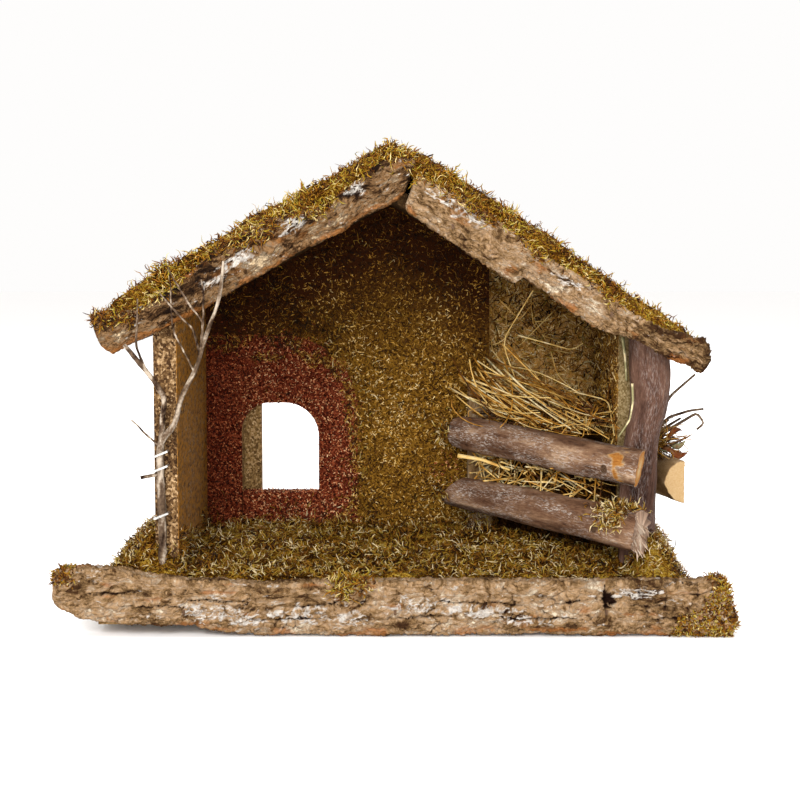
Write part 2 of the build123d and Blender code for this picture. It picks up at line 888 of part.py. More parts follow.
with BuildPart() as roof_bark_left:
    bark_slab(
        lambda y: on_slope(-1, y), left_rung_shares, bark_left_length, bark_left_height,
        0, -bark_drop, roof_front_y, roof_bark_y,
    )
    add(bark_brads.part, mode=Mode.SUBTRACT)
save(roof_bark_left, "roof_bark_left")

with BuildPart() as roof_bark_right:
    bark_slab(
        lambda y: on_slope(1, y), right_rung_shares, bark_right_length, bark_right_height,
        0, -bark_drop, roof_front_y, roof_bark_y,
    )
    add(bark_brads.part, mode=Mode.SUBTRACT)
save(roof_bark_right, "roof_bark_right")

barks = (roof_bark_left, roof_bark_right)
with BuildPart() as roof_moss_left:
    roof_moss(-1, panel_left_length, roof_moss_height, left_moss_shares, barks)
save(roof_moss_left, "roof_moss_left")

with BuildPart() as roof_moss_right:
    roof_moss(1, panel_right_length, roof_moss_height, right_moss_shares, barks)
save(roof_moss_right, "roof_moss_right")

# Hay rack
roof_up = (math.sin(slope), 0, math.cos(slope))
with BuildPart() as corner_post:
    branch((post_x, post_y, floor_z), post_shares, post_height, post_lean, post_radius)
    split(bisect_by=Plane(origin=(ridge_x, 0, ridge_height), z_dir=roof_up), keep=Keep.BOTTOM)
    add(rail_nails.part, mode=Mode.SUBTRACT)
save(corner_post, "corner_post")

with BuildPart() as rack_post:
    foot = (rack_post_x, rack_post_y, floor_z)
    branch(foot, rack_post_shares, rack_post_height, 0, rack_post_radius)
    add(rail_nails.part, mode=Mode.SUBTRACT)
save(rack_post, "rack_post")

with BuildPart() as upper_rail:
    start, end = rail_axis(
        upper_rail_height, upper_rail_fall, upper_rail_radius,
        upper_rail_left_reach, upper_rail_right_reach,
    )
    rail(start, end, upper_rail_shares, upper_rail_radius, upper_rail_bevel)
    add(rail_nails.part, mode=Mode.SUBTRACT)
save(upper_rail, "upper_rail")

with BuildPart() as lower_rail:
    start, end = rail_axis(
        lower_rail_height, lower_rail_fall, lower_rail_radius,
        lower_rail_left_reach, lower_rail_right_reach,
    )
    rail(start, end, lower_rail_shares, lower_rail_radius, lower_rail_bevel)
    way = (end - start).normalized()
    bevel = math.radians(lower_rail_cut)
    cut = way * math.cos(bevel) - Vector(0, 0, math.sin(bevel))
    split(bisect_by=Plane(origin=start + way * lower_rail_radius, z_dir=cut), keep=Keep.TOP)
    add(rail_nails.part, mode=Mode.SUBTRACT)
save(lower_rail, "lower_rail")

hay_left, hay_right, hay_square, hay_along = rail_plan(
    upper_rail_height, upper_rail_fall, upper_rail_radius
)
hay_front = hay_left + hay_square * (upper_rail_radius + hay_clearance)
hay_tilt = math.radians(hay_slope)
hay_up = Vector(0, 0, math.cos(hay_tilt)) - hay_square * math.sin(hay_tilt)
hay_rise = hay_square * math.cos(hay_tilt) + Vector(0, 0, math.sin(hay_tilt))
hay_front_height = upper_rail_height + upper_rail_fall / 2 + upper_rail_radius + hay_lift
hay_origin = Vector(hay_front.X, hay_front.Y, hay_front_height)
hay_floor = floor_z + moss_middle_height + soft_gap


def on_hay_front(x):
    """Point of the rack's back line above x."""
    return (x, hay_front.Y + (x - hay_front.X) * hay_along.Y / hay_along.X)


with BuildPart() as hay_bed:
    left = rack_post_x + rack_post_radius + soft_gap
    right = min(post_x - post_radius * widest, right_inner_x) - soft_gap
    back = base_back_y - soft_gap
    with BuildSketch(Plane.XY.offset(hay_floor)):
        Polygon(on_hay_front(left), on_hay_front(right), (right, back), (left, back), align=None)
    extrude(amount=hay_front_height * 2)
    split(bisect_by=Plane(origin=hay_origin, z_dir=hay_up), keep=Keep.BOTTOM)
save(hay_bed, "hay_bed")

with BuildPart() as hay_straws:
    rack_run = (hay_right - hay_left).length
    pile = hay_origin + hay_along * (rack_run * straw_along_share)
    pile = pile + hay_rise * (straw_length * straw_rise_share)
    last = len(straw_length_shares) - 1
    for layer, turn_share in enumerate(straw_turn_shares):
        turn = math.radians(straw_turn * turn_share)
        bend = math.radians(straw_kink * turn_share)
        way = hay_along * math.cos(turn) - hay_rise * math.sin(turn)
        across = hay_up.cross(way)
        kink = way * math.cos(bend) + across * math.sin(bend)
        level = straw_radius + seat_gap + layer * (straw_radius * 2 + seat_gap)
        for place, length_share in enumerate(straw_length_shares):
            aside = straw_row_reach - (last - place) * straw_spacing
            middle = pile + across * aside + hay_up * level
            room = right_inner_x - soft_gap - straw_radius - middle.X
            half = min(straw_length * length_share / 2, room / max(abs(way.X), abs(kink.X)))
            points = (middle - way * half, middle, middle + kink * half)
            for point, heading in zip(points, (way, way + kink, kink)):
                with BuildSketch(Plane(origin=point, x_dir=hay_up, z_dir=heading)):
                    RegularPolygon(radius=straw_radius, side_count=straw_sides)
            loft(ruled=True)
save(hay_straws, "hay_straws")

# Forked twig
with BuildPart() as forked_twig:
    for shares in limb_shares:
        points = []
        for x, y, z, girth in shares:
            points.append((twig_x + x * twig_spread, twig_y - y * twig_reach, twig_z + z * twig_height))
        limb(points, [twig_radius * girth for x, y, z, girth in shares], twig_sides)
save(forked_twig, "forked_twig")

# Outside the right wall
with BuildPart() as side_log:
    with BuildSketch(Plane(origin=log_back, x_dir=log_out, z_dir=log_way)):
        with BuildLine():
            Line((0, log_radius), (0, -log_radius))
            ThreePointArc((0, -log_radius), (-log_radius, 0), (0, log_radius))
        make_face()
    extrude(amount=log_length)
    add(rail_nails.part, mode=Mode.SUBTRACT)
save(side_log, "side_log")

clump_x = right_outer_x + clump_radius + soft_gap
clump_y = roof_front_y + log_end_setback + clump_setback
log_x = log_back.X + (log_back.Y - clump_y) * math.tan(log_turn)
aside = (log_x - clump_x) * math.cos(log_turn)
clump_z = log_height + math.sqrt((log_radius + clump_radius + soft_gap) ** 2 - aside**2)
with BuildPart() as side_twigs:
    middle = Vector(clump_x, clump_y, clump_z)
    for x, y, z, length_share in side_twig_shares:
        way = Vector(x, y, z).normalized()
        near = middle + way * (clump_radius * side_twig_root_share)
        far = near + way * (side_twig_length * length_share)
        limb((tuple(near), tuple(far)), (side_twig_radius, side_twig_radius / 2), twig_sides)
save(side_twigs, "side_twigs")

with BuildPart() as side_clump:
    with BuildSketch(Plane(origin=(clump_x, clump_y, clump_z))):
        RegularPolygon(radius=clump_radius, side_count=clump_sides)
    extrude(amount=clump_radius * clump_rise_share, both=True, taper=clump_taper)
    add(side_twigs.part, mode=Mode.SUBTRACT)
save(side_clump, "side_clump")

# Floor moss, with room for all that stands on the base
with BuildPart() as floor_moss:
    front_edge = (base_front_y, floor_z + moss_front_height)
    back_edge = (base_back_y, floor_z + moss_back_height)
    mound_edge = (base_back_y, floor_z + mound_back_height)
    middle_y = (base_front_y + base_back_y) / 2
    with BuildSketch(facing_right(-base_length / 2)):
        with BuildLine():
            Polyline(back_edge, (base_back_y, floor_z), (base_front_y, floor_z), front_edge)
            ThreePointArc(front_edge, (middle_y, floor_z + moss_middle_height), back_edge)
        make_face()
    extrude(amount=base_length)
    with BuildSketch(facing_right(-base_length / 2)):
        with BuildLine():
            Polyline(mound_edge, (base_back_y, floor_z), (base_front_y, floor_z), front_edge)
            ThreePointArc(front_edge, (middle_y, floor_z + mound_height), mound_edge)
        make_face()
    extrude(amount=base_length / 2 + left_outer_x)
    for back_share, wall_share, edge_share in right_mound_shares:
        wall_top = floor_z + right_mound_height * wall_share
        edge_top = floor_z + right_mound_height * edge_share
        with BuildSketch(facing_front(between(base_front_y, base_back_y, back_share))):
            Polygon(
                (post_x, floor_z),
                (base_length / 2, floor_z),
                (base_length / 2, edge_top),
                (right_outer_x + soft_gap, wall_top),
                (post_x, wall_top),
                align=None,
            )
    loft(ruled=True)
    foot_left = (twig_x - foot_width / 2, floor_z)
    foot_right = (twig_x + foot_width / 2, floor_z)
    with BuildSketch(facing_front(roof_front_y)):
        with BuildLine():
            Line(foot_left, foot_right)
            ThreePointArc(foot_right, (twig_x, floor_z + foot_height), foot_left)
        make_face()
    extrude(amount=roof_front_y - base_front_y)
    tall = floor_z + foot_height * 2
    wall_low = (left_outer_x - soft_gap, roof_front_y - soft_gap, 0)
    box_between(wall_low, (left_inner_x + soft_gap, base_back_y, tall), mode=Mode.SUBTRACT)
    back_low = (left_outer_x - soft_gap, coat_y - soft_gap, 0)
    box_between(back_low, (board_end_x + soft_gap, rear_y, tall), mode=Mode.SUBTRACT)
    right_low = (right_inner_x - soft_gap, right_wall_y - soft_gap, 0)
    box_between(right_low, (right_outer_x + soft_gap, rear_y, tall), mode=Mode.SUBTRACT)
    for x, y, radius in ((post_x, post_y, post_radius), (rack_post_x, rack_post_y, rack_post_radius)):
        with Locations((x, y, 0)):
            Cylinder(radius * widest + soft_gap, tall, align=(Align.CENTER, Align.CENTER, Align.MIN),
                     mode=Mode.SUBTRACT)
save(floor_moss, "floor_moss")
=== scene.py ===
"""Looks of the nativity stable: bark slabs, moss, sawdust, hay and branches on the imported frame.

Every new piece is worked out as arrays in millimetres, in the frame's own axes:
+X to the right, +Y to the back, +Z up. put() writes it as a mesh in metres.
"""

import math

import bpy
import numpy as np
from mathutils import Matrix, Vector


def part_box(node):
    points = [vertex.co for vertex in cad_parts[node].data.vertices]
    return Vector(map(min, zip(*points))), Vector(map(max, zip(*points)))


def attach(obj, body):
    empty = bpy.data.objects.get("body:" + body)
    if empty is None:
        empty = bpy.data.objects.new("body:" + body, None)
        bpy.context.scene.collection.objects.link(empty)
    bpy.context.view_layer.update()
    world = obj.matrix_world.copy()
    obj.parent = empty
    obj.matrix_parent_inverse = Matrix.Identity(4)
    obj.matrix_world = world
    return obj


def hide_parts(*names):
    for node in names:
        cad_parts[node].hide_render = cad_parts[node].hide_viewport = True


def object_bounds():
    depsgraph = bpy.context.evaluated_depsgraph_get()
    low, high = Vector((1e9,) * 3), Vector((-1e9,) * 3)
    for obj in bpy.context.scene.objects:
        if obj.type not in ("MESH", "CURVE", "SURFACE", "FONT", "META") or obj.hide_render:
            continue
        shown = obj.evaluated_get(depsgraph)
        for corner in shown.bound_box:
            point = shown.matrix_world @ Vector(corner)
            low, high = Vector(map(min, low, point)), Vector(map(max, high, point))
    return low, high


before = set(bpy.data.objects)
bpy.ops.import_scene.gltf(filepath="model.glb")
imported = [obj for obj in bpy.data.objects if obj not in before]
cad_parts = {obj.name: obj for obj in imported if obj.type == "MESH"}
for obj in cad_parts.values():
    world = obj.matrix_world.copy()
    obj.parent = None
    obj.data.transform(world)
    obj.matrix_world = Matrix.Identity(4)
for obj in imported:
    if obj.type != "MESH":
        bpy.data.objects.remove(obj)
cad_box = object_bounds()

MM = 0.001
UP = np.array([0.0, 0.0, 1.0])
FRONT = np.array([0.0, -1.0, 0.0])
FULL_TURN = 2 * math.pi


# Numbers: noise and curves on whole arrays

def unit(v):
    """Vectors scaled to a length of 1."""
    return v / np.maximum(np.linalg.norm(v, axis=-1, keepdims=True), 1e-9)


def mix(a, b, share):
    """What lies between a and b at a share of the way."""
    return a + (b - a) * share


def smooth(low, high, x):
    """0 below low, 1 above high, an S curve between."""
    t = np.clip((x - low) / (high - low), 0, 1)
    return t * t * (3 - 2 * t)


def hashed(cell, seed):
    """Repeatable number from 0 to 1 for each cell of whole coordinates."""
    h = seed * 1013904223
    for axis, prime in enumerate((374761393, 668265263, 1440662683)[: cell.shape[-1]]):
        h = h + cell[..., axis] * prime
    h = ((h & 0xFFFFFFFF) ^ ((h & 0xFFFFFFFF) >> 13)) * 1274126177 & 0xFFFFFFFF
    return ((h ^ (h >> 16)) & 0xFFFFFF) / 0xFFFFFF


def noise(points, size, seed, octaves=4):
    """Smooth noise, -1 to 1: lattice values of that size in mm, blended, each octave half as large."""
    p = np.asarray(points) / np.asarray(size)
    total, weight, reach = 0, 1.0, 0.0
    for octave in range(octaves):
        cell = np.floor(p).astype(np.int64)
        f = p - cell
        f = f * f * (3 - 2 * f)
        value = 0
        for corner in np.ndindex(2, 2, 2):
            share = np.prod(np.where(corner, f, 1 - f), axis=-1)
            value = value + share * hashed(cell + np.array(corner), seed + octave)
        total = total + weight * (2 * value - 1)
        reach += weight
        weight *= 0.5
        p = p * 2.03
    return total / reach * 1.6


def plates(x, y, seed):
    """Cracked plates, one per unit cell: nearest and second distance, and the plate's own number."""
    point = np.stack([x, y], -1)
    home = np.floor(point).astype(np.int64)
    near = np.full(x.shape, 9.0)
    second = np.full(x.shape, 9.0)
    number = np.zeros(x.shape)
    for step in np.ndindex(3, 3):
        cell = home + np.array(step) - 1
        core = cell + np.stack([hashed(cell, seed), hashed(cell, seed + 7)], -1)
        gap = np.linalg.norm(point - core, axis=-1)
        closer = gap < near
        second = np.where(closer, near, np.minimum(second, gap))
        number = np.where(closer, hashed(cell, seed + 13), number)
        near = np.where(closer, gap, near)
    return near, second, number


def turned(v, axis, angle):
    """Vectors turned about unit axes."""
    c = np.cos(angle)[..., None]
    s = np.sin(angle)[..., None]
    along = np.sum(v * axis, -1, keepdims=True)
    return v * c + np.cross(axis, v) * s + axis * along * (1 - c)


def run_of(path):
    """Distance along a path at each of its points."""
    return np.concatenate([[0], np.cumsum(np.linalg.norm(np.diff(path, axis=0), axis=1))])


def along_path(points, count):
    """A path resampled to evenly spaced points, its corners rounded by a running mean."""
    points = np.asarray(points, float)
    run = run_of(points[:, :3])
    fine = np.linspace(0, run[-1], count * 4)
    line = np.stack([np.interp(fine, run, c) for c in points.T], -1)
    width = max(3, (count * 4 // len(points)) // 2 | 1)
    before = 2 * line[:1] - line[width - 1:0:-1]
    after = 2 * line[-1:] - line[-2:-width - 1:-1]
    padded = np.concatenate([before, line, after])
    kernel = np.ones(width) / width
    soft = np.stack([np.convolve(c, kernel, "same") for c in padded.T], -1)[width - 1:-width + 1]
    soft[0], soft[-1] = line[0], line[-1]
    pick = np.linspace(0, len(soft) - 1, count).round().astype(int)
    return soft[pick]


# Meshes

def put(name, verts, faces, material, slot, stands_for=(), flat=(), **values):
    """Writes points in mm and arrays of faces as one piece; values are numbers kept at each point."""
    mesh = bpy.data.meshes.new(name)
    verts = np.asarray(verts, float).reshape(-1, 3)
    loops = np.concatenate([f.ravel() for f in faces]).astype(np.int32)
    sizes = np.concatenate([np.full(len(f), f.shape[1]) for f in faces])
    starts = np.concatenate([[0], np.cumsum(sizes)[:-1]]).astype(np.int32)
    even = np.concatenate([np.full(len(f), i not in flat) for i, f in enumerate(faces)])
    mesh.vertices.add(len(verts))
    mesh.vertices.foreach_set("co", (verts * MM).astype(np.float32).ravel())
    mesh.loops.add(len(loops))
    mesh.loops.foreach_set("vertex_index", loops)
    mesh.polygons.add(len(sizes))
    mesh.polygons.foreach_set("loop_start", starts)
    mesh.polygons.foreach_set("use_smooth", even)
    mesh.update(calc_edges=True)
    for key, value in values.items():
        value = np.ascontiguousarray(value, np.float32).ravel()
        kind, field = ("FLOAT_VECTOR", "vector") if len(value) == verts.size else ("FLOAT", "value")
        mesh.attributes.new(key, kind, "POINT").data.foreach_set(field, value)
    mesh.materials.append(material)
    piece = bpy.data.objects.new(name, mesh)
    bpy.context.scene.collection.objects.link(piece)
    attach(piece, "root")
    if stands_for:
        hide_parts(*stands_for)


def loft_faces(rows, columns, flip=False):
    """Quads between rings of points, and a face that closes each end."""
    index = np.arange(rows * columns).reshape(rows, columns)
    ahead = np.roll(index, -1, 1)
    quads = np.stack([index[:-1], index[1:], ahead[1:], ahead[:-1]], -1).reshape(-1, 4)
    ends = np.stack([index[0], index[-1, ::-1]])
    return [quads[:, ::-1], ends[:, ::-1]] if flip else [quads, ends]


def tubes(paths, radii, sides, blade, rng):
    """Rings of a few points carried along many paths at once; blade flattens the rings."""
    count, steps = paths.shape[:2]
    ahead = unit(np.gradient(paths, axis=1))
    chord = unit(paths[:, -1:] - paths[:, :1])
    aside = rng.normal(size=(count, 1, 3))
    aside = unit(aside - chord * np.sum(aside * chord, -1, keepdims=True))
    across = unit(np.cross(ahead, aside))
    other = np.cross(ahead, across)
    turn = np.arange(sides) * FULL_TURN / sides
    ring = across[:, :, None] * np.cos(turn)[:, None] + other[:, :, None] * np.sin(turn)[:, None] * blade
    verts = paths[:, :, None] + ring * radii[:, :, None, None]
    index = np.arange(count * steps * sides).reshape(count, steps, sides)
    on = np.roll(index, -1, 2)
    quads = np.stack([index[:, :-1], on[:, :-1], on[:, 1:], index[:, 1:]], -1).reshape(-1, 4)
    caps = np.concatenate([index[:, 0, ::-1], index[:, -1]]).reshape(-1, sides)
    return verts.reshape(-1, 3), [quads, caps]


def grid_triangles(grid):
    """Triangles of a grid of points."""
    a, b, c, d = grid[:-1, :-1], grid[1:, :-1], grid[1:, 1:], grid[:-1, 1:]
    return np.concatenate([np.stack(t, -2).reshape(-1, 3, 3) for t in ((a, b, c), (a, c, d))])


def scatter(corners, count, rng, keep=None):
    """Random places on triangles, picked by area, with the triangles' normals."""
    cross = np.cross(corners[:, 1] - corners[:, 0], corners[:, 2] - corners[:, 0])
    weight = np.linalg.norm(cross, axis=1)
    if keep is not None:
        weight = weight * keep(corners.mean(1), unit(cross))
    pick = rng.choice(len(corners), count, p=weight / weight.sum())
    u, v = rng.random((2, count, 1))
    over = u + v > 1
    u, v = np.where(over, 1 - u, u), np.where(over, 1 - v, v)
    a, b, c = np.moveaxis(corners[pick], 1, 0)
    return a + (b - a) * u + (c - a) * v, unit(cross[pick])


def node_points(node):
    """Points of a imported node, in mm."""
    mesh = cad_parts[node].data
    flat = np.zeros(len(mesh.vertices) * 3, np.float32)
    mesh.vertices.foreach_get("co", flat)
    return flat.reshape(-1, 3).astype(float) / MM


def node_triangles(node):
    """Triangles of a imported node, in mm."""
    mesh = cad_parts[node].data
    corners = np.zeros(len(mesh.loops), np.int32)
    mesh.loops.foreach_get("vertex_index", corners)
    return node_points(node)[corners].reshape(-1, 3, 3)


def box(node):
    """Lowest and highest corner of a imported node, in mm."""
    return [np.array(corner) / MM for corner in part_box(node)]


# Stations, read from the frame

base_low, base_high = box("base_board")
slab_low, slab_high = box("front_bark_slab")
left_low, left_high = box("left_wall")
right_low, right_high = box("right_wall")
back_low, back_high = box("back_wall")
rack_low, rack_high = box("rack_post")
sill_low, sill_high = box("window_sill_block")
brick_high = box("brick_coat")[1]
box_low, box_high = (np.array(corner) / MM for corner in cad_box)
floor_z = base_high[2]
left_inner_x, left_outer_x = left_high[0], left_low[0]
right_inner_x, right_outer_x = right_low[0], right_high[0]
wall_points = node_points("back_wall")
ridge = wall_points[wall_points[:, 2].argmax()] * (1, 0, 1)
corner_z = wall_points[wall_points[:, 0] < back_low[0] + 0.1][:, 2].max()
slope = math.atan2(ridge[2] - corner_z, ridge[0] - back_low[0])


# Materials

# Colours are noted as the eye meets them under the studio light; surfaces reflect this share of them.
REFLECTED = 0.6
DULL, MATT = 0.06, 0.02


def linear(code, share=REFLECTED):
    """sRGB hex colour as linear red, green, blue and alpha."""
    parts = [int(code[i:i + 2], 16) / 255 for i in (1, 3, 5)]
    return [share * (c / 12.92 if c <= 0.04045 else ((c + 0.055) / 1.055) ** 2.4) for c in parts] + [1.0]


def add(tree, kind, inputs=None, ramp=(), **settings):
    """Adds one node: inputs are values or outputs to join, ramp holds colour stops."""
    node = tree.nodes.new("ShaderNode" + kind)
    for key, value in settings.items():
        setattr(node, key, value)
    for key, value in (inputs or {}).items():
        if isinstance(value, bpy.types.NodeSocket):
            tree.links.new(value, node.inputs[key])
        else:
            node.inputs[key].default_value = value
    if ramp:
        elements = node.color_ramp.elements
        while len(elements) < len(ramp):
            elements.new(0.5)
        for element, (place, code) in zip(elements, ramp):
            element.position = place
            element.color = linear(code)
    return node


def kept(tree, key, field="Fac"):
    """Number, or with the field Vector a place, that the piece keeps at each of its points."""
    return add(tree, "Attribute", attribute_name=key).outputs[field]


def place_in(tree):
    """Object coordinates, in metres."""
    return add(tree, "TexCoord").outputs["Object"]


def cloudy(tree, place, size, detail, **more):
    """Noise from 0 to 1 with clouds of that size."""
    inputs = {"Vector": place, "Scale": 1 / size, "Detail": detail, **more}
    return add(tree, "TexNoise", inputs).outputs["Fac"]


def remap(tree, value, low, high, first=0.0, last=1.0):
    """Lays what runs from low to high out from first to last."""
    return add(tree, "MapRange", {0: value, 1: low, 2: high, 3: first, 4: last}).outputs[0]


def swung(tree, cloud, half, swing):
    """The middle of a noise, half to either side, laid out from -swing to swing."""
    return remap(tree, cloud, 0.5 - half, 0.5 + half, -swing, swing)


def calc(tree, operation, *terms, clamp=False):
    """One sum on numbers or outputs."""
    return add(tree, "Math", dict(enumerate(terms)), operation=operation, use_clamp=clamp).outputs[0]


def coloured(tree, share, stops):
    """Colour at a share of the way along colour stops."""
    return add(tree, "ValToRGB", {"Fac": share}, ramp=stops).outputs["Color"]


def toned(tree, tone, swing, stops):
    """Colour of a tone made lighter or darker by a swing."""
    return coloured(tree, calc(tree, "ADD", tone, swing, clamp=True), stops)


def laid_over(tree, share, under, over):
    """A colour with another laid over it by a share."""
    return add(tree, "Mix", {0: share, 6: under, 7: over}, data_type="RGBA").outputs[2]


def blank(name, roughness, level=DULL):
    """A new material with its node tree and its shader."""
    material = bpy.data.materials.new(name)
    material.use_nodes = True
    tree = material.node_tree
    shader = tree.nodes["Principled BSDF"]
    shader.inputs["Roughness"].default_value = roughness
    shader.inputs["Specular IOR Level"].default_value = level
    return material, tree, shader


def finish_with(tree, shader, colour, height, depth):
    """Joins a colour and a bump of that depth in mm to the shader."""
    bump = add(tree, "Bump", {"Height": height, "Distance": depth * MM, "Strength": 1.0})
    tree.links.new(colour, shader.inputs["Base Color"])
    tree.links.new(bump.outputs["Normal"], shader.inputs["Normal"])


def strand_material(name, stops, roughness, fleck_mm, level=DULL):
    """Dry plant strands or wood grains: each has its own tone, and flecks along it are lighter or darker."""
    material, tree, shader = blank(name, roughness, level)
    fleck = cloudy(tree, place_in(tree), fleck_mm * MM, 2.0)
    colour = toned(tree, kept(tree, "tone"), swung(tree, fleck, 0.2, 0.16), stops)
    finish_with(tree, shader, colour, fleck, 0.15)
    return material


def felt_material(name, stops, tangle_mm=1.3):
    """Matted moss or hay under the loose strands: a fine tangle, with painted shade that lightens it where it
    stands up and darkens its hollows.
    """
    material, tree, shader = blank(name, 0.95, MATT)
    tangle = cloudy(tree, place_in(tree), tangle_mm * MM, 5.0, Distortion=1.2)
    # Painted shade: the tangle that raises the bump also sets the colour, dark in its hollows.
    colour = toned(tree, kept(tree, "tone"), swung(tree, tangle, 0.15, 0.45), stops)
    finish_with(tree, shader, colour, tangle, 1.2)
    return material


def bark_material(name, stops, crack_code, lichen_code, warm_code, grain_mm=1.3, scale_mm=2.6):
    """Pine bark off the trunk: flaky plates in tans and greys, rust-brown inner bark, pale lichen crusts.

    Scales a few millimetres long and a streaky grain follow the slab, and fray crusts and cracks.
    """
    material, tree, shader = blank(name, 0.85)
    lay = kept(tree, "lay", "Vector")
    grain = cloudy(tree, lay, grain_mm, 6.0, Roughness=0.8)
    scales = add(tree, "TexVoronoi", {"Vector": lay, "Scale": 1 / scale_mm}, feature="DISTANCE_TO_EDGE")
    colour = toned(tree, kept(tree, "tone"), swung(tree, grain, 0.18, 0.34), stops)
    colour = laid_over(tree, kept(tree, "warm"), colour, linear(warm_code))
    crust = calc(tree, "MULTIPLY_ADD", grain, 1.6, kept(tree, "lichen"))
    colour = laid_over(tree, remap(tree, crust, 1.0, 1.6), colour, linear(lichen_code))
    seam = remap(tree, scales.outputs["Distance"], 0.0, 0.12, 0.3, 0.0)
    torn = calc(tree, "MULTIPLY_ADD", grain, 1.2, kept(tree, "crack"))
    gap = calc(tree, "MAXIMUM", remap(tree, torn, 0.85, 1.35), seam)
    colour = laid_over(tree, gap, colour, linear(crack_code))
    finish_with(tree, shader, colour, grain, 0.8)
    return material


def branch_material(name, stops, wood_stops, scuff_code, grain_mm=0.9, scratch_mm=0.55):
    """Branch with its bark on: fine lengthwise wrinkles and pale scuffs; sawn ends show pale wood."""
    material, tree, shader = blank(name, 0.72)
    lay = kept(tree, "lay", "Vector")
    grain = cloudy(tree, lay, grain_mm, 5.0, Roughness=0.75)
    swing = swung(tree, grain, 0.18, 0.22)
    bark = toned(tree, kept(tree, "tone"), swing, stops)
    scratch = cloudy(tree, lay, scratch_mm, 3.0, Roughness=0.7)
    rubbed = calc(tree, "MULTIPLY", kept(tree, "scuff"), remap(tree, scratch, 0.5, 0.63))
    bark = laid_over(tree, rubbed, bark, linear(scuff_code))
    wood = toned(tree, kept(tree, "ring"), swing, wood_stops)
    finish_with(tree, shader, laid_over(tree, kept(tree, "cut"), bark, wood), grain, 0.4)
    return material


def chipboard_material(name, stops, chip_mm=1.2, stain_code=None, axis=0, side="LESS_THAN", stain_from=0.0):
    """Sawn chipboard: pressed chips a millimetre or two long, pale and brown, with pits between them.

    A brushed stain covers what lies on one side of stain_from on an axis.
    """
    dust_mm, cloud_mm, streak_mm = 0.9, 35.0, 2.5
    material, tree, shader = blank(name, 0.8)
    place = place_in(tree)
    stretch = add(tree, "Mapping", {"Vector": place, "Scale": (1.0, 0.6, 0.8)}).outputs[0]
    chips = add(tree, "TexVoronoi", {"Vector": stretch, "Scale": 1 / (chip_mm * MM), "Randomness": 1.0})
    own = add(tree, "SeparateColor", {0: chips.outputs["Color"]}).outputs[0]
    tone = calc(tree, "ADD", own, cloudy(tree, place, dust_mm * MM, 4.0))
    tone = calc(tree, "ADD", tone, cloudy(tree, place, cloud_mm * MM, 3.0))
    colour = coloured(tree, remap(tree, tone, 0.75, 2.15), stops)
    if stain_code:
        brush = add(tree, "Mapping", {"Vector": place, "Scale": (1.0, 0.3, 1.0)}).outputs[0]
        hold = remap(tree, cloudy(tree, brush, streak_mm * MM, 4.0), 0.36, 0.62, 0.1, 1.0)
        inside = calc(tree, side, add(tree, "SeparateXYZ", {0: place}).outputs[axis], stain_from * MM)
        colour = laid_over(tree, calc(tree, "MULTIPLY", inside, hold), colour, linear(stain_code))
    finish_with(tree, shader, colour, chips.outputs["Distance"], 0.35)
    return material


def coat_material(name, stops, shade_code=None, grain_mm=0.9):
    """Sawdust stuck on with glue: matt grains of about a millimetre, dark between them.

    A shade code is the colour of painted shade close under the roof boards, where the roof's shadow falls and
    the dust is also browner.
    """
    shade_ends, shade_starts = 80.0, 25.0
    material, tree, shader = blank(name, 0.95, MATT)
    place = place_in(tree)
    grain = add(tree, "TexVoronoi", {"Vector": place, "Scale": 1 / (grain_mm * MM)})
    own = add(tree, "SeparateColor", {0: grain.outputs["Color"]})
    colour = coloured(tree, own.outputs[0], stops)
    # Painted shade: darkens the coat towards the roof boards, where their shadow falls.
    if shade_code:
        spot = add(tree, "SeparateXYZ", {0: place})
        aside = calc(tree, "ABSOLUTE", calc(tree, "ADD", spot.outputs[0], -ridge[0] * MM))
        rise = calc(tree, "MULTIPLY_ADD", aside, math.tan(slope), spot.outputs[2])
        near = remap(tree, rise, (ridge[2] - shade_ends) * MM, (ridge[2] - shade_starts) * MM)
        colour = laid_over(tree, near, colour, linear(shade_code))
    finish_with(tree, shader, colour, grain.outputs["Distance"], 0.4)
    return material


def steel_material(name, stops, roughness):
    """Drawn wire: a little dull from handling, brown where it has rusted."""
    rub_mm = 0.8
    material, tree, shader = blank(name, roughness, 0.5)
    shader.inputs["Metallic"].default_value = 0.8
    rub = cloudy(tree, place_in(tree), rub_mm * MM, 3.0)
    finish_with(tree, shader, coloured(tree, rub, stops), rub, 0.05)
    return material


def shades(*codes, at=None):
    """Colour stops from dark to light, evenly spaced unless their places are given."""
    return list(zip(np.linspace(0, 1, len(codes)) if at is None else at, codes))


MOSS = strand_material(
    "dried_moss_strands", shades("#1e0d02", "#64390a", "#a66e1a", "#b79a3c", "#ffe6b4"), 0.6, 2.5, 0.12,
)
ROOF_MOSS = strand_material(
    "sunned_moss_strands", shades("#3e1e04", "#80490a", "#b27a1c", "#b09c2c", "#ffe09a"), 0.6, 2.5, 0.12,
)
MAT = felt_material("moss_felt", shades("#201002", "#54320a", "#8a6216", "#b8963c", at=(0.0, 0.4, 0.7, 1.0)))
STRAW_STOPS = shades(
    "#220f02", "#6c3f10", "#c88b30", "#f4cb78", "#ffeab8", "#a89f70", at=(0.0, 0.25, 0.5, 0.72, 0.92, 1.0),
)
STRAW = strand_material("dry_hay", STRAW_STOPS, 0.5, 6.0, 0.15)
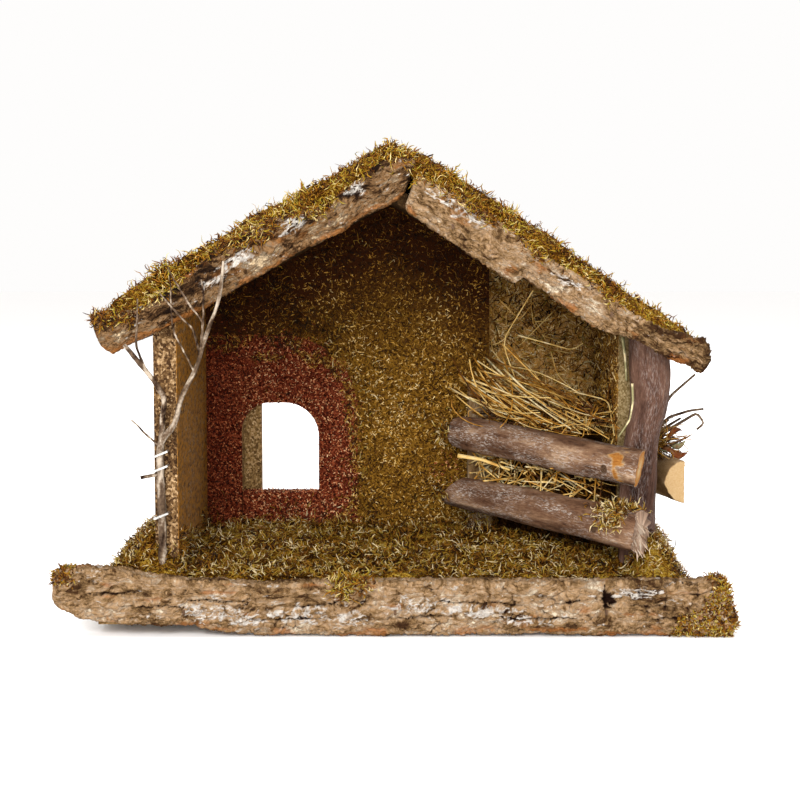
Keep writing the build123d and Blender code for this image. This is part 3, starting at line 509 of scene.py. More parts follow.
# Painted shade: the heap under the straws is coloured as hay deep in shadow.
HAY_FELT_IN_PAINTED_SHADE = felt_material("hay_in_shade", shades("#100702", "#301b08", "#6a461c"))
TWIG = strand_material("dry_twig_bark", shades("#2a1a10", "#735d49", "#d0bea8"), 0.8, 1.2)
LEAF = strand_material("dead_leaf", shades("#3c1a0c", "#8a4a26", "#9aa27c"), 0.7, 2.0)
SPLINTER = strand_material("torn_wood", shades("#8a6a52", "#c9a98d", "#f0dec8"), 0.8, 2.0)
SHAVING_STOPS = shades(
    "#180802", "#58330d", "#98681e", "#ce9a3e", "#efc678", "#ffe2a6", at=(0.0, 0.2, 0.45, 0.7, 0.88, 1.0),
)
SHAVING = strand_material("glued_shavings", SHAVING_STOPS, 0.75, 1.5, 0.1)
BRICK_STOPS = shades("#220502", "#6e2510", "#b65b34", "#ea9c66", "#ffd09c", at=(0.0, 0.3, 0.6, 0.85, 1.0))
BRICK_GRAIN = strand_material("red_sawdust_grains", BRICK_STOPS, 0.7, 1.5, 0.1)
BARK = bark_material(
    "pine_bark_slab", shades("#442b17", "#8a6a44", "#bd9870", "#bca285", "#ffeccd"),
    "#26130a", "#eae0d4", "#ac6a34",
)
DARK_BARK = bark_material(
    "grey_pine_bark_slab", shades("#1c0f07", "#50361e", "#9c764e", "#8a765f", "#f2d4a8"),
    "#170b05", "#e8dfd3", "#a8682e",
)
BRANCH_PLACES, WOOD_PLACES = (0.0, 0.4, 0.7, 1.0), (0.0, 0.4, 1.0)
RAIL_STOPS = shades("#3a2419", "#77553f", "#9a765a", "#d4b18f", at=BRANCH_PLACES)
BRANCH = branch_material(
    "fruit_branch_bark", RAIL_STOPS, shades("#8c4a1e", "#c4863e", "#eccf9a", at=WOOD_PLACES), "#d8ccc0",
)
BROKEN_BRANCH = branch_material(
    "fruit_branch_broken_end", RAIL_STOPS, shades("#6d5040", "#b89a82", "#e2cdb6"), "#d8ccc0",
)
POST_BRANCH = branch_material(
    "smooth_branch_bark", shades("#2c1a14", "#5a3f33", "#765646", "#aa8876", at=BRANCH_PLACES),
    shades("#a8571c", "#d3913f", "#eccf9a", at=WOOD_PLACES), "#c8b8b0",
)
GREY_BRANCH = branch_material(
    "weathered_branch_bark", shades("#4c361f", "#8a6a44", "#a8875f", "#d0b088", at=BRANCH_PLACES),
    shades("#8a5f2c", "#c09660", "#dcbc8c", at=WOOD_PLACES), "#cdbfa8",
)


# Bark slabs

BACK_SLACK, HOLE_RING = 0.05, 0.3
SLAB_SPLIT, ROOF_SPLIT = 20.0, 6.4
FRONT_COLUMNS, FLANK_COLUMNS, BACK_COLUMNS = 92, 8, 5
BELLY_SHARE = 0.55
BLUNT_SHARE, BLUNT_RUN = 0.72, 3.5
RAISE_STARTS, RAISE_ENDS = 34.0, 12.0
DEEPEST_RELIEF = 4.2
FISSURE_WIDTH, FISSURE_DEPTH, KNOT_DEPTH = 2.4, 1.6, 5.0


class Lie:
    """Flat frame of a slab or roof slope: along it, square up from it, and to the front."""

    def __init__(self, origin, along, rise):
        self.origin, self.along, self.rise = (np.array(v, float) for v in (origin, along, rise))
        self.flip = np.dot(np.cross(self.along, self.rise), FRONT) < 0

    def at(self, along, rise, y):
        """Points at distances along and up, and at a depth y."""
        place = self.origin + along[..., None] * self.along + rise[..., None] * self.rise
        return place + (y - self.origin[1])[..., None] * np.array([0, 1, 0])

    def read(self, points):
        """Distances along and up at which points lie."""
        away = points - self.origin
        return away @ self.along, away @ self.rise


def slope_lie(side):
    """Lie of a roof slope from the ridge down; side is -1 on the left and 1 on the right."""
    c, s = math.cos(slope), math.sin(slope)
    return Lie(ridge, (side * c, 0, -s), (side * s, 0, c))


slab_lie = Lie((0, 0, 0), (1, 0, 0), (0, 0, 1))
slopes = {side: slope_lie(side) for side in (-1, 1)}


def bark_edges(node, lie, split_rise):
    """Lower and upper edge of a bark slab: the corners of its flat back, without those of brad holes."""
    points = node_points(node)
    ring = points[points[:, 1] > points[:, 1].max() - BACK_SLACK]
    holes = node_points("bark_brads")
    apart = np.linalg.norm(ring[:, None, ::2] - holes[None, :, ::2], axis=-1).min(1)
    along, rise = lie.read(ring[apart > HOLE_RING])
    ring = np.unique(np.round(np.stack([along, rise], -1), 2), axis=0)
    upper = ring[:, 1] > split_rise
    return ring[~upper], ring[upper]


edges = {
    "front_bark_slab": bark_edges("front_bark_slab", slab_lie, SLAB_SPLIT),
    "roof_bark_left": bark_edges("roof_bark_left", slopes[-1], ROOF_SPLIT),
    "roof_bark_right": bark_edges("roof_bark_right", slopes[1], ROOF_SPLIT),
}


def edge_line(edge, shares):
    """Places on a slab's edge at shares of its run."""
    along = mix(edge[0, 0], edge[-1, 0], shares)
    return np.stack([along, np.interp(along, *edge.T)], -1)


def slab_section():
    """Ring of a bark slab: depth and rise as shares, and which way relief pushes at each point.

    Over a half turn, the front's rise is a power of the sine and its depth a power of
    the cosine. Straight flanks lead from it to the flat back.
    """
    phi = np.linspace(-math.pi / 2, math.pi / 2, FRONT_COLUMNS)
    sine = np.sin(phi)
    arc_rise = 0.5 + 0.5 * np.sign(sine) * abs(sine) ** 0.8
    arc_depth = BELLY_SHARE + (1 - BELLY_SHARE) * np.cos(phi).clip(0) ** 0.55
    flank = np.linspace(0, BELLY_SHARE, FLANK_COLUMNS + 1)[:-1]
    back = np.linspace(1, 0, BACK_COLUMNS + 2)[1:-1]
    depth_share = np.concatenate([flank, arc_depth, flank[::-1], 0 * back])
    rise_share = np.concatenate([0 * flank, arc_rise, 1 + 0 * flank, back])
    push_depth = np.concatenate([0 * flank, np.cos(phi), 0 * flank, 0 * back])
    push_rise = np.concatenate([0 * flank - 1, sine, 0 * flank + 1, 0 * back])
    return depth_share, rise_share, push_depth, push_rise


def fissure_share(along, rise, warp, rough, fissures):
    """Depth of fissures as a share: they wander off their line, and are widest in the middle of their run."""
    deepest = np.zeros(along.shape)
    for x1, z1, x2, z2 in fissures:
        run_x, run_z = x2 - x1, z2 - z1
        reach = math.hypot(run_x, run_z)
        share = ((along - x1) * run_x + (rise - z1) * run_z) / reach**2
        off = abs(((along - x1) * run_z - (rise - z1) * run_x) / reach + warp * 0.35 + rough * 0.4)
        wide = FISSURE_WIDTH / 2 * np.clip(4 * share * (1 - share), 0, 1)
        deepest = np.maximum(deepest, 1 - smooth(0.2, 1.0, off / np.maximum(wide, 1e-3)))
    return deepest


def knot_share(along, rise, q, seed, knots):
    """Depth of knot holes as a share: taller than wide, their rims frayed by noise."""
    deepest = np.zeros(along.shape)
    for x, z, radius in knots:
        away = np.hypot(along - x, (rise - z) * 0.7) + noise(q, 3, seed + 61, 3) * 1.8
        deepest = np.maximum(deepest, 1 - smooth(radius * 0.55, radius, away))
    return deepest


def lichen_share(along, rise, q, seed, patches, rims, crack):
    """Cover of lichen as a share: curls and rims of scales within oval patches, and a few specks anywhere."""
    spots = np.zeros(along.shape)
    for x, z, half_x, half_z in patches:
        spots = np.maximum(spots, np.exp(-((along - x) / half_x) ** 2 - ((rise - z) / half_z) ** 2))
    speck = noise(q, (5, 2.0, 3), seed + 41, 4)
    curls = 1 - smooth(0.0, 0.32, abs(noise(q, (4.5, 2.0, 2.5), seed + 43, 3)))
    cover = smooth(0.15, 0.6, spots + speck * 0.5) * np.maximum(curls, rims * 0.6) * (1 - crack * 0.9)
    return np.maximum(cover, smooth(0.45, 0.8, speck) * curls * 0.7)


def bark_slab(node, lie, rows, material, seed, lichens, plate=(12.0, 5.5), relief=1.0, warm_edge=0.5,
              raised=(0.0, 0.0), shaded=0.0, dim_end=0.0, warm_end=0.0, fissures=(), knots=()):
    """Bark slab: a section of flat back, flanks and rounded front, carried between the two edges.

    The front is pushed in by cracks between plates, by each plate's own step, and by
    wrinkles along the slab. lichens are patches: place along, place up, two half sizes.
    fissures run from a place to a place; knots are holes: place along, place up, radius.
    raised lifts the upper edge, all along and at the far end, where moss doesn't cover it.
    shaded darkens the upper half; dim_end and warm_end are the tone and rust of the far end.
    """
    lower, upper = edges[node]
    low, high = box(node)
    length = lower[-1, 0] - lower[0, 0]
    t = np.linspace(0, 1, rows)
    bottom, top = edge_line(lower, t), edge_line(upper, t)
    top[:, 1] += raised[0] + raised[1] * smooth(length - RAISE_STARTS, length - RAISE_ENDS, top[:, 0])

    depth_share, rise_share, push_depth, push_rise = slab_section()
    end_gap = np.clip(length * np.minimum(t, 1 - t) / BLUNT_RUN, 0, 1)
    blunt = mix(BLUNT_SHARE, 1.0, np.sqrt(1 - (1 - end_gap) ** 2))[:, None]
    share = 0.5 + (rise_share - 0.5) * blunt
    along = mix(bottom[:, :1], top[:, :1], share)
    rise = mix(bottom[:, 1:], top[:, 1:], share)
    depth = (depth_share * blunt + 0 * along) * (high[1] - low[1])

    q = np.stack([along, rise, depth * 0.8], -1)
    warp = noise(q, 13, seed, 4) * 4
    lean = noise(q, 40, seed + 3, 2) * 8
    up = rise + depth * 0.5 + warp
    near, second, number = plates((along + warp * 1.6) / plate[0], (up + lean * 0.5) / plate[1], seed)
    fine_near, fine_second, fine_number = plates((along + warp) / 4.0, (up + warp * 0.3) / 2.0, seed + 5)
    rough = noise(q, 2.0, seed + 17, 3)
    gate = smooth(-0.25, 0.45, noise(q, 20, seed + 21, 2))
    crack = (1 - smooth(0.0, 0.13, second - near + rough * 0.04)) * gate
    hair = (1 - smooth(0.0, 0.17, fine_second - fine_near)) * mix(0.4, 1.0, 1 - gate)
    on_front = push_depth > 0.3
    split = fissure_share(along, rise, warp, rough, fissures) * on_front
    hole = knot_share(along, rise, q, seed, knots) * on_front
    wrinkle = noise(q, (9, 1.9, 3), seed + 11, 4)
    flake = np.floor((noise(q, (11, 4, 5), seed + 31, 4) + 1) * 6) % 3
    depth_mm = crack * 1.3 + hair * 0.5 + (number - 0.2) * 0.8 + fine_number * 0.8 + flake * 0.5
    depth_mm = depth_mm + wrinkle * 0.7 + rough * 0.55 + 0.2
    inward = np.clip(depth_mm * relief, 0, DEEPEST_RELIEF) + split * FISSURE_DEPTH + hole * KNOT_DEPTH
    y = high[1] - np.clip(depth - push_depth * inward, 0.0, None)
    verts = lie.at(along, rise - push_rise * inward * 0.8, y)

    rims = 1 - smooth(0.0, 0.35, fine_second - fine_near)
    lichen = lichen_share(along, rise, q, seed, lichens, rims, crack)
    level = (rise - bottom[:, 1:]) / (top[:, 1:] - bottom[:, 1:]).clip(1)
    low_edge = 1 - smooth(0.0, 0.3, level)
    far = smooth(length * 0.8, length * 0.97, along)
    rust = noise(q, (12, 4, 5), seed + 71, 4) + low_edge * warm_edge + far * warm_end
    tone = 0.45 + (number - 0.5) * 0.32 + (fine_number - 0.5) * 0.4 + wrinkle * 0.25
    tone = tone + noise(q, 24, seed + 51, 3) * 0.25
    tone = tone - shaded * smooth(0.3, 0.6, level) - dim_end * smooth(length * 0.5, length * 0.9, along)
    dark = crack * 0.6 + hair * 0.5 + smooth(0.3, 0.9, -wrinkle) * 0.25 + split * 0.5 + hole
    put(node + "_skin", verts, loft_faces(rows, verts.shape[1], lie.flip), material, "bark", (node,),
        tone=tone, crack=np.clip(dark, 0, 1), lichen=lichen, warm=smooth(0.45, 0.95, rust) * 0.65,
        lay=np.stack([along * 0.45, up, 0 * up], -1))
    return verts[::-1] if lie.flip else verts


SLAB_LENGTH, SLAB_HEIGHT = slab_high[0] - slab_low[0], slab_high[2] - slab_low[2]
# Fissures from place to place, in shares of the slab's length and height
FISSURE_SHARES = (
    (0.050, 0.62, 0.135, 0.70), (0.090, 0.44, 0.205, 0.42), (0.190, 0.57, 0.300, 0.50),
    (0.275, 0.24, 0.400, 0.28), (0.345, 0.47, 0.470, 0.55), (0.480, 0.25, 0.610, 0.33),
    (0.545, 0.53, 0.690, 0.48), (0.650, 0.26, 0.780, 0.22), (0.720, 0.45, 0.782, 0.56),
    (0.830, 0.50, 0.925, 0.40), (0.860, 0.22, 0.960, 0.28), (0.803, 0.86, 0.809, 0.22),
)
KNOT_SHARES, KNOT_RADIUS = (0.807, 0.58), 4.2
# Patches of lichen: place along, place up, two half sizes
SLAB_LICHENS = (
    (-95, 13, 12, 5), (-76, 9, 10, 5), (-48, 12, 16, 5), (-22, 9, 12, 4),
    (12, 17, 14, 4), (40, 14, 20, 4), (66, 9, 14, 3), (122, 24, 12, 2.5),
)
LEFT_LICHENS = ((12, 13, 6, 3), (48, 12, 9, 4), (78, 9, 10, 4), (98, 6, 7, 2.5))
RIGHT_LICHENS = ((24, 14, 8, 3), (42, 12, 10, 3), (100, 8, 8, 3))


def on_slab(along, rise):
    """Place on the front slab from shares of its length and height."""
    return slab_low[0] + SLAB_LENGTH * along, SLAB_HEIGHT * rise


slab_grid = bark_slab(
    "front_bark_slab", slab_lie, 560, BARK, 3, SLAB_LICHENS,
    fissures=[on_slab(a, b) + on_slab(c, d) for a, b, c, d in FISSURE_SHARES],
    knots=((*on_slab(*KNOT_SHARES), KNOT_RADIUS),),
)
left_bark_grid = bark_slab(
    "roof_bark_left", slopes[-1], 300, DARK_BARK, 23, LEFT_LICHENS,
    plate=(15.0, 5.0), warm_edge=0.75, raised=(2.0, 0.5), shaded=0.22, warm_end=0.55,
)
right_bark_grid = bark_slab(
    "roof_bark_right", slopes[1], 330, BARK, 43, RIGHT_LICHENS,
    plate=(9.0, 5.0), relief=1.1, warm_edge=0.2, raised=(3.0, 0.0), dim_end=0.3, warm_end=0.1,
)


# Moss

LEAFY_SHARES = {4: np.array([0.6, 1.0, 0.8, 0.25]), 6: np.array([0.5, 1.0, 0.65, 0.95, 0.6, 0.2])}
FLATTENED = 0.55
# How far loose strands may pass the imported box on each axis
STRAY = 0.02 * (box_high - box_low)


def curled(roots, normals, length, lift, curl, steps, rng, wander=0.0):
    """Strands that head off between surface and normal, curl mostly within the surface, and wander."""
    count = len(roots)
    side = rng.normal(size=(count, 3))
    side = unit(side - normals * np.sum(side * normals, -1, keepdims=True))
    heading = side * np.cos(lift)[:, None] + normals * np.sin(lift)[:, None]
    axis = unit(normals + rng.normal(0, 0.55, (count, 3)))
    paths = [roots]
    for _ in range(steps - 1):
        heading = unit(turned(heading, axis, curl / steps) + rng.normal(0, wander, (count, 3)))
        paths.append(paths[-1] + heading * (length / (steps - 1))[:, None])
    return np.stack(paths, 1)


def strands(name, places, normals, tone, rng, length, radius, lift, steps=4, material=MOSS, stands_for=()):
    """Moss strands on a surface: three-sided, thick and thin by turns like rows of tiny leaves."""
    count = len(places)
    size = rng.uniform(*length, count)
    lifts, curls = rng.uniform(*lift, count), rng.normal(0, 3.4, count)
    paths = curled(places, normals, size, lifts, curls, steps, rng, 0.45)
    paths = np.clip(paths, box_low - STRAY * (1, 1, 0), box_high + STRAY)
    girth = rng.uniform(*radius, count)[:, None] * LEAFY_SHARES[steps]
    verts, faces = tubes(paths, girth, 3, FLATTENED, rng)
    climb = np.linspace(-0.2, 0.16, steps)
    tones = np.repeat((tone[:, None] + climb).ravel(), 3)
    put(name, verts, faces, material, "moss", stands_for, tone=tones)


def moss_tones(places, rng, seed, middle):
    """Tones of moss strands: mostly brown, lighter by clumps, with some bright tips."""
    clump = noise(places, 11, seed, 3)
    return np.clip(middle + rng.normal(0, 0.3, len(places)) + clump * 0.28, 0, 1)


PANEL_RISE, PANEL_FRONT_Y = 7.0, -66.0
VALLEY_WIDTH, VALLEY_DEPTH = 24.0, 4.6
# Where each valley lies between front and back, at the ridge and at the eave
VALLEY_SHARES = ((0.20, 0.27), (0.48, 0.40), (0.70, 0.80))
MAT_DROP, MAT_SETBACK = 0.3, 3.5
MAT_BELOW_BARK, BARK_RAISED = 3, 2.5
MAT_ROWS, MAT_COLUMNS, FRONT_COLUMNS_UP, BACK_COLUMNS_DOWN = 150, 96, 10, 8
EDGE_FALL, EDGE_ROUND = 4.5, 9
EAVE_FALL, EAVE_ROUND = 3, 7
# How far before the left and the right eave the mat thins out
EAVE_BARE = {-1: 4.0, 1: 12.0}
# Places in X of tufts that stand up at the roof's front
TUFTS = np.array([-118.0, -53.0, -48.0, -1.0, 6.0, 31.0, 58.0])
TUFT_HALF = 4.5
# How far moss hangs down the bark: place along the slope, and mm below the bark's upper edge
BARK_HEIGHT = 19
DRAPES = {
    -1: (
        (0, 2), (20, 3), (27, 10), (35, 11), (42, 4), (52, 6), (75, 6), (82, 1), (101, 1), (113, 7),
        (136, 8), (146, 10), (156, 7), (164, -2), (176, -10), (190, -14),
    ),
    1: (
        (0, 6), (20, 2), (40, 5), (62, 2), (74, 13), (88, 4), (104, 7), (120, 9), (140, 3), (158, -2),
        (175, -9), (190, -12),
    ),
}


def roof_moss_mat(side, node, bark):
    """Moss mat on a roof slope: a loop over its front, top and back, carried from ridge to eave.

    Its height is the solid's crown, cut by three valleys with straight flanks, rounded
    off at front, back and eave, with noise for lumps.
    """
    lie = slopes[side]
    points = node_points(node)
    low, high = box(node)
    along, rise = lie.read(points[points[:, 1] > high[1] - BACK_SLACK])
    order = np.argsort(along)
    along, rise = along[order], rise[order]
    crown = rise > PANEL_RISE + 0.1
    run = along.max()
    bark_top = edges[bark][1]
    t = np.linspace(0, 1, MAT_ROWS)[:, None]
    y_front, y_back = low[1] + MAT_SETBACK, high[1]
    y = np.concatenate([
        np.full(FRONT_COLUMNS_UP, y_front), np.linspace(y_front, y_back, MAT_COLUMNS),
        np.full(BACK_COLUMNS_DOWN, y_back), [PANEL_FRONT_Y, PANEL_FRONT_Y],
    ])
    climb = np.concatenate([
        np.linspace(0, 1, FRONT_COLUMNS_UP + 1)[:-1], np.ones(MAT_COLUMNS),
        np.linspace(1, 0, BACK_COLUMNS_DOWN + 1)[1:], [0, 0],
    ])
    s = t * run
    height = np.interp(s, along[crown], rise[crown])
    over_bark = np.interp(s, bark_top[:, 0], bark_top[:, 1]) + BARK_RAISED - MAT_BELOW_BARK
    foot = np.where(y < PANEL_FRONT_Y + 1, over_bark, PANEL_RISE)
    for ridge_share, eave_share in VALLEY_SHARES:
        floor_y = mix(y_front, y_back, mix(ridge_share, eave_share, t))
        floor = mix(rise[crown][0], rise[crown][-2], t) - VALLEY_DEPTH
        height = np.minimum(height, floor + abs(y - floor_y) * 2 * VALLEY_DEPTH / VALLEY_WIDTH)
    height = height - MAT_DROP - EAVE_FALL * smooth(run - EAVE_BARE[side], run, s)
    height = np.maximum(height, foot + 1.0)
    edge = np.minimum(y - y_front, y_back - y)
    crown_height = height - EDGE_FALL * (1 - smooth(0, EDGE_ROUND, edge))
    eave = mix(0.15, 1.0, np.sqrt(np.clip((run - s) / EAVE_ROUND, 0, 1)))
    rise_at = mix(foot, crown_height, climb * eave)
    s = mix(-rise_at * math.tan(slope), run, t)
    y = y + 0 * s
    q = np.stack([s, y, rise_at], -1)
    lump = noise(q, 14, 61 + side, 4) * 2.0 + noise(q, 4, 67 + side, 3) * 1.0
    rise_at = rise_at + lump * climb
    y = y + np.where((y < y_front + 1), abs(lump) * 0.5, 0)
    grid = lie.at(s, rise_at, y)
    tone = 0.5 + noise(q, 10, 71 + side, 3) * 0.4
    flip = side < 0
    put(node + "_mat", grid, loft_faces(MAT_ROWS, grid.shape[1], flip), MAT, "moss", (node,), tone=tone)
    top = grid[:, :FRONT_COLUMNS_UP + MAT_COLUMNS + BACK_COLUMNS_DOWN - 2]
    return top[::-1] if flip else top


def roof_moss(side, node, bark, bark_grid, seed):
    """Moss of a roof slope: its mat with short and loose strands, an overhang on the bark, and tufts."""
    rng = np.random.default_rng(seed)
    lie = slopes[side]
    grid = roof_moss_mat(side, node, bark)
    corners = grid_triangles(grid)
    front_y = grid[..., 1].min()
    run = lie.read(grid)[0].max()

    def more_in_front(middle, normal):
        """More strands near the front edge, hardly any at the eave's front."""
        near_eave = smooth(run - 24, run - 10, lie.read(middle)[0])
        bare = near_eave * (middle[:, 1] < front_y + 10)
        return (1.0 + 1.8 * (middle[:, 1] < front_y + 14)) * (1 - 0.95 * bare)

    for part, count, length, radius, steps in (
        ("_mat_strands", 6900, (2.6, 5.6), (0.32, 0.58), 4),
        ("_loose_strands", 1600, (4.5, 9.0), (0.2, 0.36), 6),
    ):
        places, normals = scatter(corners, count, rng, more_in_front)
        places = places + normals * rng.uniform(-1.0, 1.0, (count, 1))
        tone = moss_tones(places, rng, seed + 5, 0.42 - 0.04 * side)
        strands(node + part, places, normals, tone, rng, length, radius, (-0.45, 0.05), steps, ROOF_MOSS)

    upper_bark = bark_grid[:, FRONT_COLUMNS // 2:FRONT_COLUMNS + 2 * FLANK_COLUMNS - 2]
    places, normals = scatter(grid_triangles(upper_bark), 5600, rng)
    along = lie.read(places)[0]
    column = (places[:, 2] + along * math.sin(slope) - ridge[2]) / math.cos(slope)
    drape = np.interp(along, *np.array(DRAPES[side]).T)
    keep = column + noise(places, 9, seed + 9, 3) * 5 > BARK_HEIGHT - drape
    places, normals = places[keep], normals[keep]
    tone = moss_tones(places, rng, seed + 7, 0.42)
    strands(node + "_overhang", places, normals, tone, rng, (3.0, 6.5), (0.26, 0.5), (-0.25, 0.15),
            material=ROOF_MOSS)

    places, normals = scatter(corners, 9000, rng, more_in_front)
    keep = (abs(places[:, :1] - TUFTS).min(1) < TUFT_HALF) & (places[:, 1] < front_y + 7)
    places, normals = places[keep], normals[keep]
    tone = moss_tones(places, rng, seed + 11, 0.5)
    strands(node + "_tufts", places, normals, tone, rng, (5.0, 9.0), (0.35, 0.6), (0.4, 1.2), 6, ROOF_MOSS)


roof_moss(-1, "roof_moss_left", "roof_bark_left", left_bark_grid, 101)
roof_moss(1, "roof_moss_right", "roof_bark_right", right_bark_grid, 102)

MOSS_FRONT, MOSS_MIDDLE, MOSS_BACK = 12.0, 18.0, 15.0
LEFT_MOUND, RIGHT_MOUND, FOOT_MOUND = 12, 16, 36
FOOT_X, FOOT_Y = -124, -62
MOSS_SUNK, MOSS_THINNEST = 2.0, 0.4
FLOOR_ROWS, FLOOR_COLUMNS = 240, 120


def floor_height(x, y):
    """Height of the moss above the base board: a low arch through three heights from front to back.

    S curves raise mounds outside both walls, and a bell curve one at the twig's foot.
    """
    t = (y - base_low[1]) / (base_high[1] - base_low[1])
    arch = MOSS_FRONT * (1 - t) * (1 - 2 * t) + 4 * MOSS_MIDDLE * t * (1 - t) - MOSS_BACK * t * (1 - 2 * t)
    left = LEFT_MOUND * smooth(base_low[0], left_outer_x, x) * (x < left_inner_x) * smooth(-80, -60, y)
    right = RIGHT_MOUND * smooth(base_high[0] + 2, right_outer_x, x)
    right = right * smooth(right_inner_x + 4, right_outer_x - 2, x) * smooth(-76, -54, y)
    foot = FOOT_MOUND * np.exp(-((x - FOOT_X) / 17) ** 2 - ((y - FOOT_Y) / 13) ** 2) * smooth(-82, -64, y)
    inside = smooth(left_inner_x, left_inner_x + 26, x)
    return np.maximum(arch + left + right, foot * mix(1, 1 - inside, 0.7))


def under_wall(x, y):
    """True where a wall stands on the base board."""
    left = (x > left_outer_x) & (x < left_inner_x) & (y > left_low[1])
    right = (x > right_inner_x) & (x < right_outer_x) & (y > right_low[1])
    back = (y > back_low[1]) & (x < back_high[0]) & (x > left_outer_x)
    return left | right | back


def floor_moss_mat():
    """Moss floor: a loop over the board from front to back, carried from left to right.

    Its height is floor_height with noise for lumps, rounded off at the sides and the back.
    """
    x = np.linspace(base_low[0], base_high[0], FLOOR_ROWS)[:, None]
    y = np.concatenate([[base_low[1]], np.linspace(base_low[1], base_high[1], FLOOR_COLUMNS), [base_high[1]]])
    x, y = np.broadcast_arrays(x, y)
    q = np.stack([x, y, 0 * x], -1)
    lump = noise(q, 15, 81, 4) * 2.4 + noise(q, 5, 83, 3) * 1.1
    side_edge = np.sqrt(np.clip((abs(base_high[0]) - abs(x)) / EDGE_ROUND, 0, 1))
    back_edge = np.sqrt(np.clip((base_high[1] - y) / EDGE_ROUND, 0, 1))
    mound = np.maximum(floor_height(x, y) + lump - MOSS_SUNK, MOSS_THINNEST) * side_edge * back_edge
    height = np.where(under_wall(x, y), MOSS_THINNEST, np.maximum(mound, MOSS_THINNEST))
    height[:, 0] = height[:, -1] = 0.0
    grid = np.stack([x, y, floor_z + height], -1)
    tone = 0.5 + noise(q, 9, 85, 3) * 0.45
    faces = loft_faces(FLOOR_ROWS, grid.shape[1])
    put("floor_moss_mat", grid, faces, MAT, "moss", ("floor_moss",), tone=tone)
    return grid[:, 1:-1]


def floor_moss():
    """Moss floor: its mat, with short and loose strands wherever no wall stands, more of them in front."""
    rng = np.random.default_rng(131)
    corners = grid_triangles(floor_moss_mat())

    def open_floor(middle, normal):
        """No strands under walls, more of them in front."""
        front = 1.0 + 0.9 * (middle[:, 1] < -20)
        return front * ~under_wall(middle[:, 0], middle[:, 1])

    for part, count, length, radius, steps in (
        ("near", 6900, (3.0, 7.0), (0.28, 0.54), 4),
        ("tangle", 6900, (3.0, 6.0), (0.26, 0.5), 4),
        ("loose", 2400, (6.0, 12.0), (0.18, 0.34), 6),
    ):
        places, normals = scatter(corners, count, rng, open_floor)
        places = places + normals * rng.uniform(-1.0, 1.4, (count, 1))
        tone = moss_tones(places, rng, 137, 0.47)
        strands("floor_moss_" + part, places, normals, tone, rng, length, radius, (-0.25, 0.35), steps)


floor_moss()

SLAB_TUFT_X, SLAB_TUFT_HALF = -23, 11
PATCH_FROM, PATCH_EDGE = 140, 164
LEFT_FUZZ_X, RIGHT_FUZZ_X, FUZZ_Z = -163, 160, 28


def slab_moss():
    """Moss on the front slab: a tuft over its edge, a golden patch at the right, fuzz at both corners."""
    rng = np.random.default_rng(141)
    corners = grid_triangles(slab_grid[:, :FRONT_COLUMNS + 2 * FLANK_COLUMNS])

    def tuft(x, z, fray):
        """A wedge that hangs down from the upper edge."""
        off = x - SLAB_TUFT_X
        return (abs(off + fray) < SLAB_TUFT_HALF) & (z > 19 + abs(off) * 0.7 + fray)

    def patch(x, z, fray):
        """What lies right of a leaning line."""
        return (x + fray > PATCH_EDGE - (25 - z) * 1.2) & (x > PATCH_FROM)

    def fuzz(x, z, fray):
        """Upper corners of both ends."""
        return ((x < LEFT_FUZZ_X) | (x > RIGHT_FUZZ_X)) & (z > FUZZ_Z + fray * 0.5)

    for where, seed, count, length, middle_tone in (
        (tuft, 143, 420, (4.0, 9.0), 0.5),
        (patch, 144, 2000, (1.8, 4.5), 0.42),
        (fuzz, 145, 420, (2.0, 5.0), 0.3),
    ):
        middle = corners.mean(1)
        inside = where(middle[:, 0], middle[:, 2], noise(middle, 5, seed, 3) * 5)
        places, normals = scatter(corners, count, rng, lambda *_: inside)
        tone = moss_tones(places, rng, 145, middle_tone)
        name = "slab_moss_" + where.__name__
        strands(name, places, normals, tone, rng, length, (0.3, 0.6), (-0.1, 0.35), 4, ROOF_MOSS)


slab_moss()


def wall_foot_moss():
    """Moss that climbs the foot of the left wall, on its inner face and its front edge."""
    rng = np.random.default_rng(147)

    def open_faces(middle, normal):
        """Inner face and front edge."""
        return (normal[:, 0] > 0.9) | (normal[:, 1] < -0.9)

    places, normals = scatter(node_triangles("left_wall"), 6000, rng, open_faces)
    reach = mix(20, 32, smooth(30, -60, places[:, 1]))
    keep = places[:, 2] - floor_z + noise(places, 9, 148, 3) * 9 < reach
    places, normals = places[keep], normals[keep]
    tone = moss_tones(places, rng, 149, 0.36)
    strands("wall_foot_moss", places, normals, tone, rng, (3.5, 8.0), (0.26, 0.5), (0.0, 0.6))


wall_foot_moss()


# Sawdust on the walls

BRICK_CORNER = 45.0
SPILL_X, SPILL_Z = 30, 66
CLUMP_X, CLUMP_Z = -86, 152
BAY_FOOT, RIGHT_BAY_FOOT = 60, 70


def shards(name, places, normals, tone, rng, length, radius,
           material=SHAVING, slot="sawdust", lift=0.5, steps=3):
    """Grains and shavings: slivers of three sides, bent once, lying nearly flat on the wall."""
    count = len(places)
    size = rng.uniform(*length, count)
    lifts, curls = rng.uniform(-0.1, lift, count), rng.normal(0, 0.9, count)
    paths = curled(places, normals, size, lifts, curls, steps, rng)
    girth = rng.uniform(*radius, count)[:, None] * np.array([1.0, 0.7, 0.5][:steps])
    verts, faces = tubes(paths, girth, 3, FLATTENED, rng)
    put(name, verts, faces, material, slot, (), (0, 1), tone=np.repeat(tone, 3 * steps))


def facing(axis, sign):
    """Picks triangles that look along an axis: 0, 1 or 2 for X, Y or Z, and a sign."""
    return lambda middle, normal: normal[:, axis] * sign > 0.9


facing_front, facing_left, facing_up = facing(1, -1), facing(0, -1), facing(2, 1)


def under_roof(places):
    """How far below the roof boards a place lies, in mm."""
    return ridge[2] - abs(places[:, 0] - ridge[0]) * math.tan(slope) - places[:, 2]


